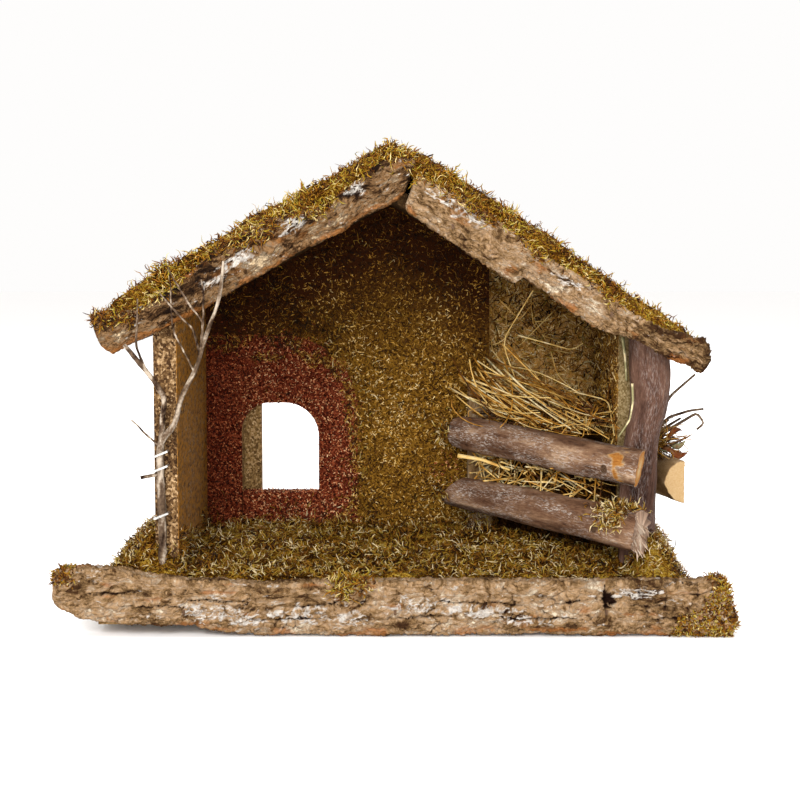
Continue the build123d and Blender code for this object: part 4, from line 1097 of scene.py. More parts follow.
def past_brick(places):
    """Distance past the edge of the brick-red field, negative inside it."""
    over = places[:, ::2] - brick_high[::2]
    round_corner = np.linalg.norm((over + BRICK_CORNER).clip(0), axis=1) - BRICK_CORNER
    return np.where((over > -BRICK_CORNER).all(1), round_corner, over.max(1))


def grain_tones(count, rng, bright):
    """Tones of glued grains: mostly dark, with a share of bright ones."""
    picked = rng.random(count) < bright
    return np.where(picked, rng.uniform(0.8, 1.0, count), rng.beta(1.0, 1.5, count) * 0.85)


def back_wall_dust(coat, rng):
    """Shavings on the back wall, darkened under the roof as painted shade; gives the places left to red
    grains.

    Red grains stray past the brick field's edge, most at its top, and lie in a spill right of the window.
    """
    places, normals = scatter(coat, 11800, rng, facing_front)
    stray = mix(4, 11, smooth(115, 140, places[:, 2]))
    red = past_brick(places) + noise(places, 7, 153, 3) * stray < 1.0
    from_spill = np.hypot((places[:, 0] - SPILL_X) / 11, (places[:, 2] - SPILL_Z) / 12)
    spilt = from_spill + noise(places, 6, 154, 3) * 0.5 < 0.8
    red = red | (spilt & (rng.random(len(places)) < 0.6))
    # Painted shade: shavings close under the roof boards are darkened where the roof's shadow falls.
    shade = smooth(75, 5, under_roof(places))
    tone = grain_tones(len(places), rng, 0.13) - shade * 0.32 + noise(places, 24, 155, 3) * 0.24
    tone = np.clip(tone, 0, 1)
    shards("wall_shavings", places[~red], normals[~red], tone[~red], rng, (0.8, 2.5), (0.25, 0.55))
    return places[red], normals[red]


def brick_dust(brick, spill, spill_normals, rng):
    """Red grains on the brick field, the spill and the sill; shavings where the field's edge is worn. Both
    are darkened under the roof as painted shade, and the red grains near the left wall as its painted shadow.
    """
    places, normals = scatter(brick, 11500, rng, facing_front)
    lower_corner = places[:, 0] - brick_high[0] + 62 - places[:, 2] - 12
    stray = mix(6, 24, smooth(112, 140, places[:, 2]))
    worn = np.maximum(past_brick(places), lower_corner) + noise(places, 10, 156, 3) * stray > -3
    joint = (abs(places[:, 0] - sill_low[0]) < 1.0) & (places[:, 2] < sill_high[2] + 1)
    # Painted shade: edge shavings under the roof are darkened like the wall's shavings.
    tone = grain_tones(worn.sum(), rng, 0.1) - smooth(75, 5, under_roof(places[worn])) * 0.32
    shards("brick_edge_shavings", places[worn], normals[worn], tone, rng, (0.9, 3.2), (0.25, 0.55))
    places, normals = places[~worn & ~joint], normals[~worn & ~joint]
    crumbs, crumb_normals = scatter(node_triangles("window_sill_block"), 700, rng, facing_up)
    places = np.concatenate([places, spill, crumbs])
    normals = np.concatenate([normals, spill_normals, crumb_normals])
    # Painted shadow: red grains near the left wall and under the roof are darkened where those cast shade.
    painted_wall_and_roof_shadow = smooth(-80, -108, places[:, 0]) + smooth(60, 15, under_roof(places)) * 0.6
    tone = np.clip(grain_tones(len(places), rng, 0.18) - painted_wall_and_roof_shadow * 0.24, 0, 1)
    shards("brick_grains", places, normals, tone, rng, (0.5, 1.5), (0.25, 0.5),
           BRICK_GRAIN, "brick_sawdust", 0.9, 2)


def back_wall_fibres(faces, rng):
    """Fibres on the back wall, most at the brick field's edge, under the roof, at the foot, in a clump."""
    places, normals = scatter(faces, 11000, rng, facing_front)
    z, past = places[:, 2], past_brick(places)
    edge = abs(past - 3) - 5 * smooth(125, 145, z)
    weight = 0.15 + 0.95 * smooth(9, 1, edge) + 0.45 * smooth(60, 5, under_roof(places))
    weight = weight + 0.5 * smooth(52, 36, z)
    clump = np.exp(-((places[:, 0] - CLUMP_X) / 28) ** 2 - ((z - CLUMP_Z) / 14) ** 2)
    weight = weight + 1.8 * clump + 0.5 * smooth(12, 3, abs(past + 4)) * (z > 120)
    weight = weight * np.where(past < -9, 0.12 + 0.8 * smooth(60, 38, z), 1)
    keep = rng.random(len(places)) < weight * smooth(-0.3, 0.5, noise(places, 14, 157, 3)) * 1.2
    places, normals = places[keep], normals[keep]
    # Painted shade: fibres close under the roof boards are darkened where the roof's shadow falls.
    tone = moss_tones(places, rng, 159, 0.26) - smooth(80, 20, under_roof(places)) * 0.22 - clump[keep] * 0.12
    strands("wall_fibres", places, normals, tone, rng, (3.0, 8.0), (0.22, 0.5), (-0.1, 0.4))


def recess_dust(rng):
    """Long shavings and fibres on the second back board, darkened under the roof as painted shade, with more
    fibres there.
    """
    places, normals = scatter(node_triangles("right_back_board"), 8000, rng, facing_front)
    x, z = places[:, 0], places[:, 2]
    bay = (x > back_high[0] + 1) & (x < right_inner_x - 1) & (z > BAY_FOOT)
    places, normals = places[bay], normals[bay]
    # Painted shade: shavings and fibres close under the roof are darkened where its shadow falls; more of the
    # darkened fibres are picked there.
    shade = smooth(70, 5, under_roof(places))
    tone = np.clip(grain_tones(len(places), rng, 0.14) + 0.42 - shade * 0.25, 0, 1)
    shards("recess_shavings", places, normals, tone, rng, (1.2, 5.0), (0.2, 0.5))
    thick = 0.25 + shade
    pick = rng.choice(len(places), 1000, p=thick / thick.sum())
    places, normals = places[pick], normals[pick]
    tone = moss_tones(places, rng, 161, 0.5) - shade[pick] * 0.2
    strands("recess_fibres", places, normals, tone, rng, (5.0, 14.0), (0.25, 0.55), (0.0, 0.4))


def right_wall_dust(rng):
    """Shavings on the right wall's inner face, above the hay."""
    places, normals = scatter(node_triangles("right_wall"), 4500, rng, facing_left)
    bay = (places[:, 2] > RIGHT_BAY_FOOT) & (under_roof(places) > 2)
    places, normals = places[bay], normals[bay]
    tone = grain_tones(len(places), rng, 0.08) + 0.1
    shards("right_wall_shavings", places, normals, tone, rng, (1.2, 4.0), (0.2, 0.5), steps=2)


def wall_sawdust():
    """All that is glued to the walls, drawn from one row of random numbers."""
    rng = np.random.default_rng(151)
    coat, brick = node_triangles("sawdust_coat"), node_triangles("brick_coat")
    brick_dust(brick, *back_wall_dust(coat, rng), rng)
    back_wall_fibres(np.concatenate([coat, brick]), rng)
    recess_dust(rng)
    right_wall_dust(rng)


wall_sawdust()


# Branches

BRANCH_ROWS, BRANCH_COLUMNS, LAY_RADIUS = 150, 72, 9
END_SHARES, LOG_END_SHARES = (0.93, 0.7, 0.4, 0.08), (0.94, 0.7, 0.4, 0.08)
RING_TONES = 1 - np.array([0.2, 0.5, 0.8, 1.0])[:, None] * 0.75
END_RINGS = len(RING_TONES)


def with_ends(grid, shares):
    """Rings of a branch with smaller rings in both ends, at shares of the end ring's size."""
    caps = []
    for end in (grid[0], grid[-1]):
        middle = end.mean(0)
        caps.append([middle + (end - middle) * share for share in shares])
    return np.stack(caps[0][::-1] + list(grid) + caps[1])


def on_ends(values, fill=None):
    """Values at the rings of a branch, with those of the ends' rings: a fill, or the last ring's."""
    pad = [(END_RINGS, END_RINGS)] + [(0, 0)] * (values.ndim - 1)
    return np.pad(values, pad, "edge") if fill is None else np.pad(values, pad, constant_values=fill)


def branch_skin(node, points, radii, material, slot, seed, cuts, rough=0.5, jag=0.0, scuffs=0.8, torn=0.0):
    """Branch: a ring carried along a path, roughened, slid onto the cut planes, its ends closed by rings.

    Its radius is the path's, times a slow noise for knobs, with a fine one for wrinkles and pits.
    cuts are a point and a direction for each end; jag splinters the second end.
    torn is how far before the second end a patch of bark is off, on the front.
    """
    line = along_path(np.column_stack([points, radii]), BRANCH_ROWS)
    path, girth = line[:, :3], line[:, 3]
    ahead = unit(np.gradient(path, axis=0))
    way = unit(path[-1] - path[0])
    across = unit(np.cross(ahead, np.cross(way, UP) if abs(way[2]) < 0.9 else -FRONT))
    other = np.cross(ahead, across)
    turn = np.arange(BRANCH_COLUMNS) * FULL_TURN / BRANCH_COLUMNS
    ring = across[:, None] * np.cos(turn)[:, None] + other[:, None] * np.sin(turn)[:, None]
    run = run_of(path)[:, None]
    round_x, round_z = LAY_RADIUS * np.cos(turn), LAY_RADIUS * np.sin(turn)
    q = np.stack([run + 0 * turn, round_x + 0 * run, round_z + 0 * run], -1)
    wrinkle = noise(q, (24, 4, 4), seed, 4)
    knob = noise(q, (30, 9, 9), seed + 3, 2)
    pit = smooth(0.45, 0.8, noise(q, (4, 2.2, 2.2), seed + 5, 2))
    out = girth[:, None] * (1 + 0.05 * knob) + rough * (wrinkle * 0.8 - 0.5) - pit * 0.25
    verts = path[:, None] + ring * out[..., None]
    tears = noise(np.stack([round_x, round_z, 0 * turn], -1), 2.5, seed + 9, 3) * jag
    for (spot, look), ragged in zip(cuts, (0, tears)):
        look = unit(np.array(look, float))
        past = np.maximum((verts - spot) @ look - ragged, 0)
        verts = verts - ahead[:, None] * (past / (ahead @ look)[:, None])[..., None]
    bare = np.zeros(wrinkle.shape)
    if torn:
        patch = 0.8 - ((run[-1] - run - torn) / 8) ** 2 - (1 - ring @ FRONT) * 1.4
        bare = smooth(0.0, 0.4, patch + noise(q, (6, 2.5, 2.5), seed + 15, 3) * 0.9)
    heart = on_ends(1 - 0.75 * bare)
    heart[:END_RINGS] = RING_TONES
    heart[-END_RINGS:] = RING_TONES[::-1]
    grid = with_ends(verts, END_SHARES)
    put(node + "_skin", grid, loft_faces(len(grid), BRANCH_COLUMNS, True), material, slot, (node,),
        tone=on_ends(0.48 + wrinkle * 0.36 + knob * 0.1 - pit * 0.12), cut=on_ends(bare, 1), ring=heart,
        scuff=on_ends(smooth(-0.4, 0.35, noise(q, (16, 5, 5), seed + 8, 3)) * scuffs),
        lay=on_ends(q * (0.2, 1, 1)))


RAIL_SHARES = np.array([0.0, 0.04, 0.35, 0.7, 1.0])
UPPER_GIRTH, LOWER_GIRTH = (0.9, 1.0, 0.97, 1.0, 0.98), (0.8, 0.84, 0.92, 1.0, 1.06)


def rail(node, start, end, radius, bevel, girth, material, seed, lean=0.0, tilt=0.0, jag=0.4, torn=0.0):
    """Rail of the rack: a branch from a place to a place, its far end sawn at a bevel; gives that end.

    lean tips the far cut downwards; tilt cuts the near end at a slope.
    """
    start, end = np.array(start), np.array(end)
    way = unit(end - start)
    swing, slant = math.radians(bevel), math.radians(tilt)
    look = way * math.cos(swing) + np.cross(UP, way) * math.sin(swing) - UP * lean
    far = end - way * radius * 2
    near_cut = (start, -way)
    if tilt:
        near_cut = (start + way * radius, -(way * math.cos(slant) - UP * math.sin(slant)))
    points = start + (end - start) * RAIL_SHARES[:, None]
    branch_skin(node, points, np.array(girth) * radius, material, "branch", seed, (near_cut, (far, look)),
                0.6, jag, torn=torn)
    return far, way, look, radius


def splinters(far, way, look, radius):
    """Torn fibres at the broken end of the lower rail, drooping from its face."""
    rng = np.random.default_rng(191)
    count, sides = 90, 4
    shares = np.array([1.0, 0.8, 0.5, 0.15])
    aside = unit(np.cross(look, UP))
    turn, reach = rng.uniform(0, FULL_TURN, count), radius * np.sqrt(rng.random(count)) * 0.95
    roots = far + np.outer(np.cos(turn) * reach, aside) + np.outer(np.sin(turn) * reach, UP) - way * 1.5
    heading = unit(way * 0.55 + rng.normal(0, 0.18, (count, 3)) - UP * rng.uniform(0.3, 1.3, (count, 1)))
    run = np.linspace(0, 1, len(shares))[:, None]
    paths = roots[:, None] + heading[:, None] * run * rng.uniform(3, 7, count)[:, None, None]
    girth = rng.uniform(0.3, 0.75, count)[:, None] * shares
    verts, faces = tubes(paths, girth, sides, 0.5, rng)
    tone = np.repeat(rng.random(count), sides * len(shares))
    put("lower_rail_splinters", verts, faces, SPLINTER, "branch", tone=tone)


def rail_moss(far, way, radius):
    """Moss that has grown on the lower rail near its broken end."""
    rng = np.random.default_rng(193)
    count = 420
    back = np.cross(UP, way)
    swing = rng.uniform(-0.5, 1.5, count)
    normals = np.outer(np.cos(swing), UP) - np.outer(np.sin(swing), back)
    places = far - np.outer(rng.gamma(2.0, 5.0, count) + 2, way) + normals * radius
    tone = moss_tones(places, rng, 195, 0.55)
    strands("lower_rail_moss", places, normals, tone, rng, (4.0, 8.0), (0.3, 0.6), (0.0, 0.6), 6)


def rails():
    """Both rails of the rack: the upper one sawn, with a torn patch; the lower one broken and mossy."""
    rail("upper_rail", (36.86, 44.87, 90.4), (138.71, -85.92, 83.2), 10.5, 36.0, UPPER_GIRTH, BRANCH, 171,
         lean=0.16, torn=29.0)
    far, way, look, radius = rail(
        "lower_rail", (28.71, 54.33, 56.0), (138.91, -94.04, 52.0), 11.0, 25.0, LOWER_GIRTH,
        BROKEN_BRANCH, 191, tilt=42, jag=2.2,
    )
    splinters(far, way, look, radius)
    rail_moss(far, way, radius)


rails()


def rail_foot_moss():
    """Moss caught between the rails' left ends and the wall, over the nails there."""
    rng = np.random.default_rng(197)
    heads = node_points("rail_nails")
    heads = heads[heads[:, 0] < rack_low[0]]
    count = 240
    normals = unit(FRONT + rng.normal(0, 0.6, (count, 3)))
    places = heads[rng.choice(len(heads), count)] + rng.normal(0, 1.6, (count, 3))
    tone = moss_tones(places, rng, 199, 0.4)
    strands("rail_foot_moss", places, normals, tone, rng, (4.0, 8.0), (0.3, 0.55), (0.0, 0.6))


rail_foot_moss()

POST_X, POST_Y = 129.0, -44.73
POST_LEAN, POST_RADIUS, POST_HEIGHT = 5.6, 10.2, 158.0
# Crook of the corner post: share of its height, share of its lean, share of its radius
POST_SHARES = (
    (0.0, -0.1, 1.02), (0.3, -0.12, 1.0), (0.46, 0.12, 0.93), (0.54, 0.38, 0.89),
    (0.62, 0.93, 1.0), (0.71, 1.0, 1.08), (0.8, 0.75, 1.02), (1.0, 0.6, 1.0),
)
RACK_FOOT, RACK_RADII = (50.5, 59.3), (9.5, 9.3, 9.0, 8.6)


def posts():
    """Crooked corner post, cut off under the roof, and straight rack post, cut off level."""
    points = [(POST_X + lean * POST_LEAN, POST_Y, floor_z + t * POST_HEIGHT) for t, lean, _ in POST_SHARES]
    girth = [POST_RADIUS * share for _, _, share in POST_SHARES]
    foot, roof = ((0, 0, floor_z), -UP), (ridge, slopes[1].rise)
    branch_skin("corner_post", points, girth, POST_BRANCH, "branch", 211, (foot, roof), 0.6, scuffs=0.3)
    points = [(*RACK_FOOT, z) for z in np.linspace(floor_z, rack_high[2], len(RACK_RADII))]
    head = ((0, 0, rack_high[2]), UP)
    branch_skin("rack_post", points, RACK_RADII, GREY_BRANCH, "weathered_branch", 223, (foot, head))


posts()


def rack_foot_moss():
    """Moss heaped round the rack post's foot."""
    moss_low, moss_high, around = 30, 19, 8.8
    rng = np.random.default_rng(227)
    count = 900
    turn, height = rng.uniform(0, FULL_TURN, count), rng.gamma(2.0, 5.0, count)
    normals = np.stack([np.cos(turn), np.sin(turn), 0 * turn], -1)
    height = np.minimum(height, moss_high) + moss_low
    places = np.array([*RACK_FOOT, 0]) + normals * around + np.outer(height, UP)
    tone = moss_tones(places, rng, 229, 0.38)
    strands("rack_foot_moss", places, normals, tone, rng, (4.0, 8.0), (0.25, 0.5), (0.0, 0.7))


rack_foot_moss()

LOG_START, LOG_TURN = np.array([142.11, 28.46, 71.7]), math.radians(13.0)
LOG_RADIUS, LOG_LENGTH, LOG_ROWS = 11.5, 60.0, 60
LOG_ROUND_COLUMNS, LOG_FLAT_COLUMNS = 40, 16


def side_log():
    """Split log: a half-round section, its flat side to the right, carried to the front.

    Noise drawn out along the log wrinkles the round side, and a finer one cuts grain into the flat side.
    """
    way = np.array([math.sin(LOG_TURN), -math.cos(LOG_TURN), 0])
    out = np.array([math.cos(LOG_TURN), math.sin(LOG_TURN), 0])
    turn = np.linspace(-math.pi / 2, math.pi / 2, LOG_ROUND_COLUMNS)
    flat = np.linspace(1, -1, LOG_FLAT_COLUMNS + 2)[1:-1]
    aside = np.concatenate([-np.cos(turn), 0 * flat])
    rise = np.concatenate([np.sin(turn), flat])
    run = np.linspace(0, LOG_LENGTH, LOG_ROWS)[:, None]
    q = np.stack([run + 0 * rise, aside * LOG_RADIUS + 0 * run, rise * LOG_RADIUS + 0 * run], -1)
    wrinkle = noise(q, (20, 4, 4), 231, 4)
    bark = np.concatenate([np.cos(turn) ** 0.5, 0 * flat])
    size = LOG_RADIUS + (wrinkle * 0.7 - 0.5) * bark
    grid = LOG_START + run[..., None] * way + (aside * size)[..., None] * out + (rise * size)[..., None] * UP
    grain = noise(q, (30, 2, 1.2), 233, 3) * 0.4
    grid = with_ends(grid - ((1 - bark) * abs(grain))[..., None] * out, LOG_END_SHARES)
    split = np.broadcast_to(1 - (bark > 0.2), wrinkle.shape).astype(float)
    tone = on_ends(0.5 + wrinkle * 0.4)
    put("side_log_skin", grid, loft_faces(len(grid), grid.shape[1], True), GREY_BRANCH, "weathered_branch",
        ("side_log",), tone=tone, cut=on_ends(split, 1), ring=on_ends(0.6 + grain, 0.75), scuff=0 * tone,
        lay=grid - LOG_START)


side_log()


# Hay

HAY_ORIGIN = np.array([44.25, 54.43, 101.5])
RACK_WAY = np.array([0.61, -0.79, 0.0])
RACK_BACK = np.array([0.76, 0.59, 0.26])
RACK_UP = np.array([-0.2, -0.16, 0.97])
LEVEL = np.array([1, 1, 0])
HAY_ROWS, HAY_COLUMNS, HAY_ENDS = 60, 60, (4, 116)
HAY_TILT, HAY_LUMPS, HAY_SUNK, HAY_FALL = math.radians(9), 4, 9, 0.1
LIP_SHARE, LIP_FALL = 0.04, 14
RACK_LEFT_X, FAN_LEFT_X = 42, 32
FAN_LEFT = np.array([[36.0, 50, 121], [64, 36, 121]])
FAN_RIGHT = np.array([[62.0, 27, 99], [115, -30, 98]])
RAIL_TOP_Z = 97
LONG_STRAWS = (
    ((74.9, -10, 174), (60.2, 25, 144), (75.4, 28, 103)),
    ((60.2, 25, 143), (97.1, 5, 107), (111, -20, 97.6)),
    ((47.8, 50, 127), (86.9, 15, 97)),
    ((37.7, 60, 119.5), (76.8, 30, 98)),
    ((70.3, 40, 147), (100.4, 30, 139), (106, 25, 143)),
    ((89.7, 45, 137), (92.9, 40, 124), (113, 0, 105)),
    ((96.8, 20, 117), (116.5, -10, 114), (117, -34, 97)),
    ((123.1, -57, 127), (123.6, -57, 118), (122.1, -57, 108), (116.4, -56, 99)),
    ((59.8, 40, 167), (71.2, 38, 155.7), (79.5, 35, 167)),
    ((92, 60, 159.4), (72.2, 50, 140.7)),
    ((120.5, -37, 150), (122, -38, 138), (122.6, -38, 127)),
    ((48.9, 48, 123.4), (83.7, 10, 98), (91.4, 2, 97)),
    ((71, 30, 105), (107.7, 0, 105), (116, -30, 110)),
    ((35.3, 22, 79.5), (48.9, 20, 77.5), (64.5, 14, 72.3)),
)
# Long straws that are thicker than the others, and how thick; the two at the corner post are pale
STRAW_RADIUS, THICK_STRAWS, PALE_STRAWS = 0.62, {13: 2.4, 7: 1.3, 10: 1.0}, [7, 10]


def straws(name, paths, radius, rng, tone, blade):
    """Straws along paths: four-sided, thinner to the end, flattened by the blade's share."""
    sides = 4
    steps = paths.shape[1]
    girth = radius[:, None] * np.linspace(1.0, 0.55, steps)
    verts, faces = tubes(paths, girth, sides, blade, rng)
    put(name, verts, faces, STRAW, "hay", (), tone=np.repeat(tone, steps * sides))


def bent_straws(middle, way, length, rng, steps=7, bow=0.12):
    """Straws that pass through their middles, bent by a slow curve and one kink."""
    count = len(middle)
    share = np.linspace(-0.5, 0.5, steps)
    square = unit(np.cross(way, rng.normal(size=(count, 3))))
    bow = rng.normal(0, bow, count)
    kink = rng.normal(0, 0.35, count) * (rng.random(count) < 0.4)
    spot = rng.uniform(-0.3, 0.3, count)
    off = bow[:, None] * (share**2 - 0.08) * 2 + kink[:, None] * np.maximum(share - spot[:, None], 0)
    course = way[:, None] * share[:, None] + square[:, None] * off[..., None]
    return middle[:, None] + course * length[:, None, None]


def in_room(paths, left_x):
    """Paths kept between a place on the left and the right wall."""
    paths[..., 0] = np.clip(paths[..., 0], left_x, right_inner_x - 1.0)
    return paths


def hay_heap():
    """Heap under the straws, coloured as hay in painted shade: a sheet over the rack, closed down to the
    bed's foot at front and back.

    It rises to the back, falls slowly to the right, and has noise for lumps and a let-down lip.
    """
    low, high = box("hay_bed")
    along = np.linspace(*HAY_ENDS, HAY_ROWS)[:, None] + np.zeros(HAY_COLUMNS)
    back = np.linspace(0, 1, HAY_COLUMNS)[None, :] + 0 * along
    x = np.clip((HAY_ORIGIN + along[..., None] * RACK_WAY)[..., 0], low[0], high[0])
    line_y = HAY_ORIGIN[1] + (x - HAY_ORIGIN[0]) * RACK_WAY[1] / RACK_WAY[0]
    y = mix(line_y, high[1], back)
    q = np.stack([x, y, 0 * y], -1)
    depth = np.sum((q - HAY_ORIGIN) * unit(RACK_BACK * LEVEL), -1)
    top = HAY_ORIGIN[2] + depth * math.tan(HAY_TILT) + noise(q, 14, 255, 4) * HAY_LUMPS
    top = top - HAY_SUNK - HAY_FALL * (x - low[0])
    top = np.where(back < LIP_SHARE, top - LIP_FALL, top)
    beside = ((0, 0), (1, 1))
    z = np.pad(top, beside, constant_values=low[2])
    grid = np.stack([np.pad(x, beside, "edge"), np.pad(y, beside, "edge"), z], -1)
    tone = 0.5 + noise(grid, 6, 257, 3) * 0.4
    put("hay_heap", grid, loft_faces(HAY_ROWS, grid.shape[1]), HAY_FELT_IN_PAINTED_SHADE, "hay", ("hay_bed",), tone=tone)


def top_straws(rng):
    """Thin dark straws that lie every way on the heap."""
    count = 130
    place = HAY_ORIGIN + np.outer(rng.uniform(14, 112, count), RACK_WAY)
    place = place + np.outer(rng.uniform(-4, 30, count), RACK_BACK)
    place = place + np.outer(rng.exponential(2.0, count) - 2, RACK_UP)
    turn = rng.normal(0.0, 0.9, count)
    way = np.outer(np.cos(turn), RACK_WAY) + np.outer(np.sin(turn), RACK_BACK)
    way = way + np.outer(rng.normal(-0.05, 0.16, count), RACK_UP)
    paths = bent_straws(place, unit(way), rng.uniform(18, 45, count), rng, bow=0.4)
    paths = in_room(paths, RACK_LEFT_X)
    straws("hay_top_straws", paths, rng.uniform(0.3, 0.6, count), rng, rng.beta(1.2, 3.2, count) * 0.8, 0.6)


def fan_straws(rng):
    """Long straws that fan out from the upper left over the rack: curves through a sagging middle."""
    count = 84
    share = rng.random(count)
    reach = rng.beta(1.6, 1.2, count)
    first = mix(FAN_LEFT[0], FAN_LEFT[1], share[:, None]) + rng.normal(0, 8, (count, 3))
    last = mix(FAN_RIGHT[0], FAN_RIGHT[1], reach[:, None]) + rng.normal(0, 9, (count, 3))
    last[:, 2] = np.maximum(last[:, 2], RAIL_TOP_Z)
    sag = (first + last) / 2 + rng.normal(0, 7, (count, 3)) - UP * rng.uniform(-4, 12, (count, 1))
    t = np.linspace(0, 1, 9)[:, None]
    paths = first[:, None] * (1 - t) ** 2 + sag[:, None] * 2 * t * (1 - t) + last[:, None] * t**2
    paths = in_room(paths, FAN_LEFT_X)
    straws("hay_fan_straws", paths, rng.uniform(0.4, 0.85, count), rng, rng.beta(1.9, 1.4, count) * 0.92, 0.7)


def rail_straws(rng):
    """Short straws that hang out over the upper rail."""
    count = 34
    place = HAY_ORIGIN + np.outer(rng.uniform(25, 105, count), RACK_WAY) - UP * rng.uniform(0, 4, (count, 1))
    way = unit(RACK_WAY * 0.5 - RACK_BACK * 0.9 - UP * 0.45 + rng.normal(0, 0.25, (count, 3)))
    paths = bent_straws(place + UP * 3, way, rng.uniform(14, 26, count), rng)
    straws("hay_rail_straws", paths, rng.uniform(0.35, 0.7, count), rng, rng.uniform(0.25, 0.75, count), 0.6)


def gap_straws(rng):
    """Broad straws in the gap between the rails."""
    count = 200
    height = rng.uniform(62, 84, count)
    place = HAY_ORIGIN * LEVEL + np.outer(rng.uniform(14, 112, count), RACK_WAY)
    place = place + np.outer(rng.uniform(-11, 3, count), RACK_BACK * LEVEL)
    place[:, 2] = height
    way = unit(RACK_WAY * 0.7 + rng.normal(0, 0.6, (count, 3)))
    paths = in_room(bent_straws(place, way, rng.uniform(12, 36, count), rng), RACK_LEFT_X)
    straws("hay_gap_straws", paths, rng.uniform(0.3, 1.0, count), rng, rng.beta(2.2, 1.5, count) * 0.95, 0.5)


def recess_straws(rng):
    """Straws caught on the second back board above the rack."""
    count = 34
    place = [rng.uniform(60, 112, count), rng.uniform(60, 80, count), rng.uniform(112, 175, count)]
    way = unit(rng.normal(0, 1, (count, 3)) * (1, 0.25, 0.8))
    paths = bent_straws(np.stack(place, -1), way, rng.uniform(14, 40, count), rng, bow=0.4)
    paths = np.clip(paths, (57, -60, 60), (right_inner_x - 1, 81, 190))
    radius, tone = rng.uniform(0.25, 0.48, count), rng.uniform(0.15, 0.75, count)
    straws("hay_recess_straws", paths, radius, rng, tone, 0.7)


def long_straws(rng):
    """Single straws that show in the photograph, each on its own path."""
    paths = np.stack([along_path(line, 16) for line in LONG_STRAWS])
    girth = np.full(len(paths), STRAW_RADIUS)
    girth[list(THICK_STRAWS)] = list(THICK_STRAWS.values())
    tone = rng.uniform(0.5, 0.85, len(paths))
    tone[PALE_STRAWS] = 1.0
    straws("hay_long_straws", paths, girth, rng, tone, 0.55)


def hay():
    """Hay in the rack: the heap and all straws, drawn from one row of random numbers."""
    rng = np.random.default_rng(251)
    hay_heap()
    for lay_straws in (top_straws, fan_straws, rail_straws, gap_straws, recess_straws, long_straws):
        lay_straws(rng)
    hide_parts("hay_straws")


hay()


# Forked twig on the left wall's front edge

TWIG_FOOT = np.array([-120.5, -68.4, 54.3])
TWIG_SIZE = np.array([40.0, -18.0, 136.5])
TWIG_RADIUS = 2.2
# Each limb's way, in shares of the twig's size, and its girth as a share of the radius
LIMB_SHARES = (
    ((0, -0.01, -0.2, 1.02), (0.0, 0.0, 0.0, 1.0), (-0.012, 0.0, 0.289, 0.96), (0.01, 0.02, 0.327, 0.8),
     (0.2, 0.18, 0.383, 0.66), (0.267, 0.3, 0.478, 0.6), (0.505, 0.52, 0.612, 0.52),
     (0.588, 0.68, 0.691, 0.48), (0.788, 0.93, 0.839, 0.42), (0.868, 0.97, 0.967, 0.34),
     (0.868, 0.98, 1.0, 0.24)),
    ((-0.005, 0.02, 0.28, 0.62), (0.072, 0.24, 0.496, 0.6), (-0.11, 0.48, 0.577, 0.6),
     (-0.25, 0.7, 0.635, 0.54), (-0.388, 0.9, 0.692, 0.46)),
    ((-0.15, 0.545, 0.595, 0.3), (-0.245, 0.84, 0.69, 0.27), (-0.21, 0.94, 0.862, 0.18)),
    ((0.545, 0.6, 0.652, 0.32), (0.6, 0.86, 0.745, 0.28), (0.617, 0.95, 0.88, 0.22),
     (0.59, 0.97, 0.932, 0.17)),
    ((0.54, 0.59, 0.645, 0.32), (0.497, 0.84, 0.745, 0.28), (0.31, 0.92, 0.8, 0.24),
     (0.057, 0.98, 0.884, 0.17)),
    ((0.606, 0.88, 0.775, 0.26), (0.44, 0.93, 0.84, 0.23), (0.247, 0.97, 0.933, 0.19),
     (0.185, 0.98, 0.977, 0.16)),
    ((-0.02, 0.04, 0.305, 0.28), (-0.38, 0.15, 0.405, 0.19)),
    ((-0.01, 0.05, 0.198, 0.46), (-0.25, 0.14, 0.185, 0.4)),
    ((0.462, 0.48, 0.588, 0.24), (0.22, 0.86, 0.745, 0.2), (0.195, 0.96, 0.95, 0.15)),
)


def forked_twig():
    """Forked twig: round limbs along their paths, pushed aside and made knobby by noise."""
    rng = np.random.default_rng(271)
    size, foot = (*TWIG_SIZE, TWIG_RADIUS), (*TWIG_FOOT, 0)
    lines = np.stack([along_path(np.array(limb) * size + foot, 40) for limb in LIMB_SHARES])
    middle, girth = lines[..., :3], lines[..., 3]
    paths = middle + noise(middle, 9, 273, 3)[..., None] * np.array([0.5, 0.0, 0.0])
    knob = 1 + 0.16 * noise(middle, (3, 3, 5), 275, 3)
    verts, faces = tubes(paths, girth * knob, 9, 1.0, rng)
    tone = 0.48 + noise(verts, (2.0, 2.0, 5.0), 277, 3) * 0.7
    put("forked_twig_skin", verts, faces, TWIG, "twig", ("forked_twig",), tone=tone)


forked_twig()


# Dry tuft and twigs outside the right wall

SIDE_TWIGS = (
    ((140, -8, 92), (148.8, -14, 105), (160, -17, 109), (167.4, -18, 110)),
    ((140, -6, 90), (150, -10, 98), (164.2, -14, 107.4), (168.6, -14, 102), (164.3, -15, 98.5)),
    ((139, -10, 92), (148, -22, 117), (159.6, -34, 130)),
    ((141, -3, 92), (152, -2, 100), (158, 1, 103)),
)
SIDE_TWIG_GIRTH = np.linspace(1.1, 0.65, 24)
STEM_WAY, LEAF_WAY = np.array([0.9, -0.35, 0.4]), np.array([0.8, -0.4, 0.55])
LEAF_SHARES = np.array([0.1, 0.6, 0.95, 1.0, 0.8, 0.45, 0.08])


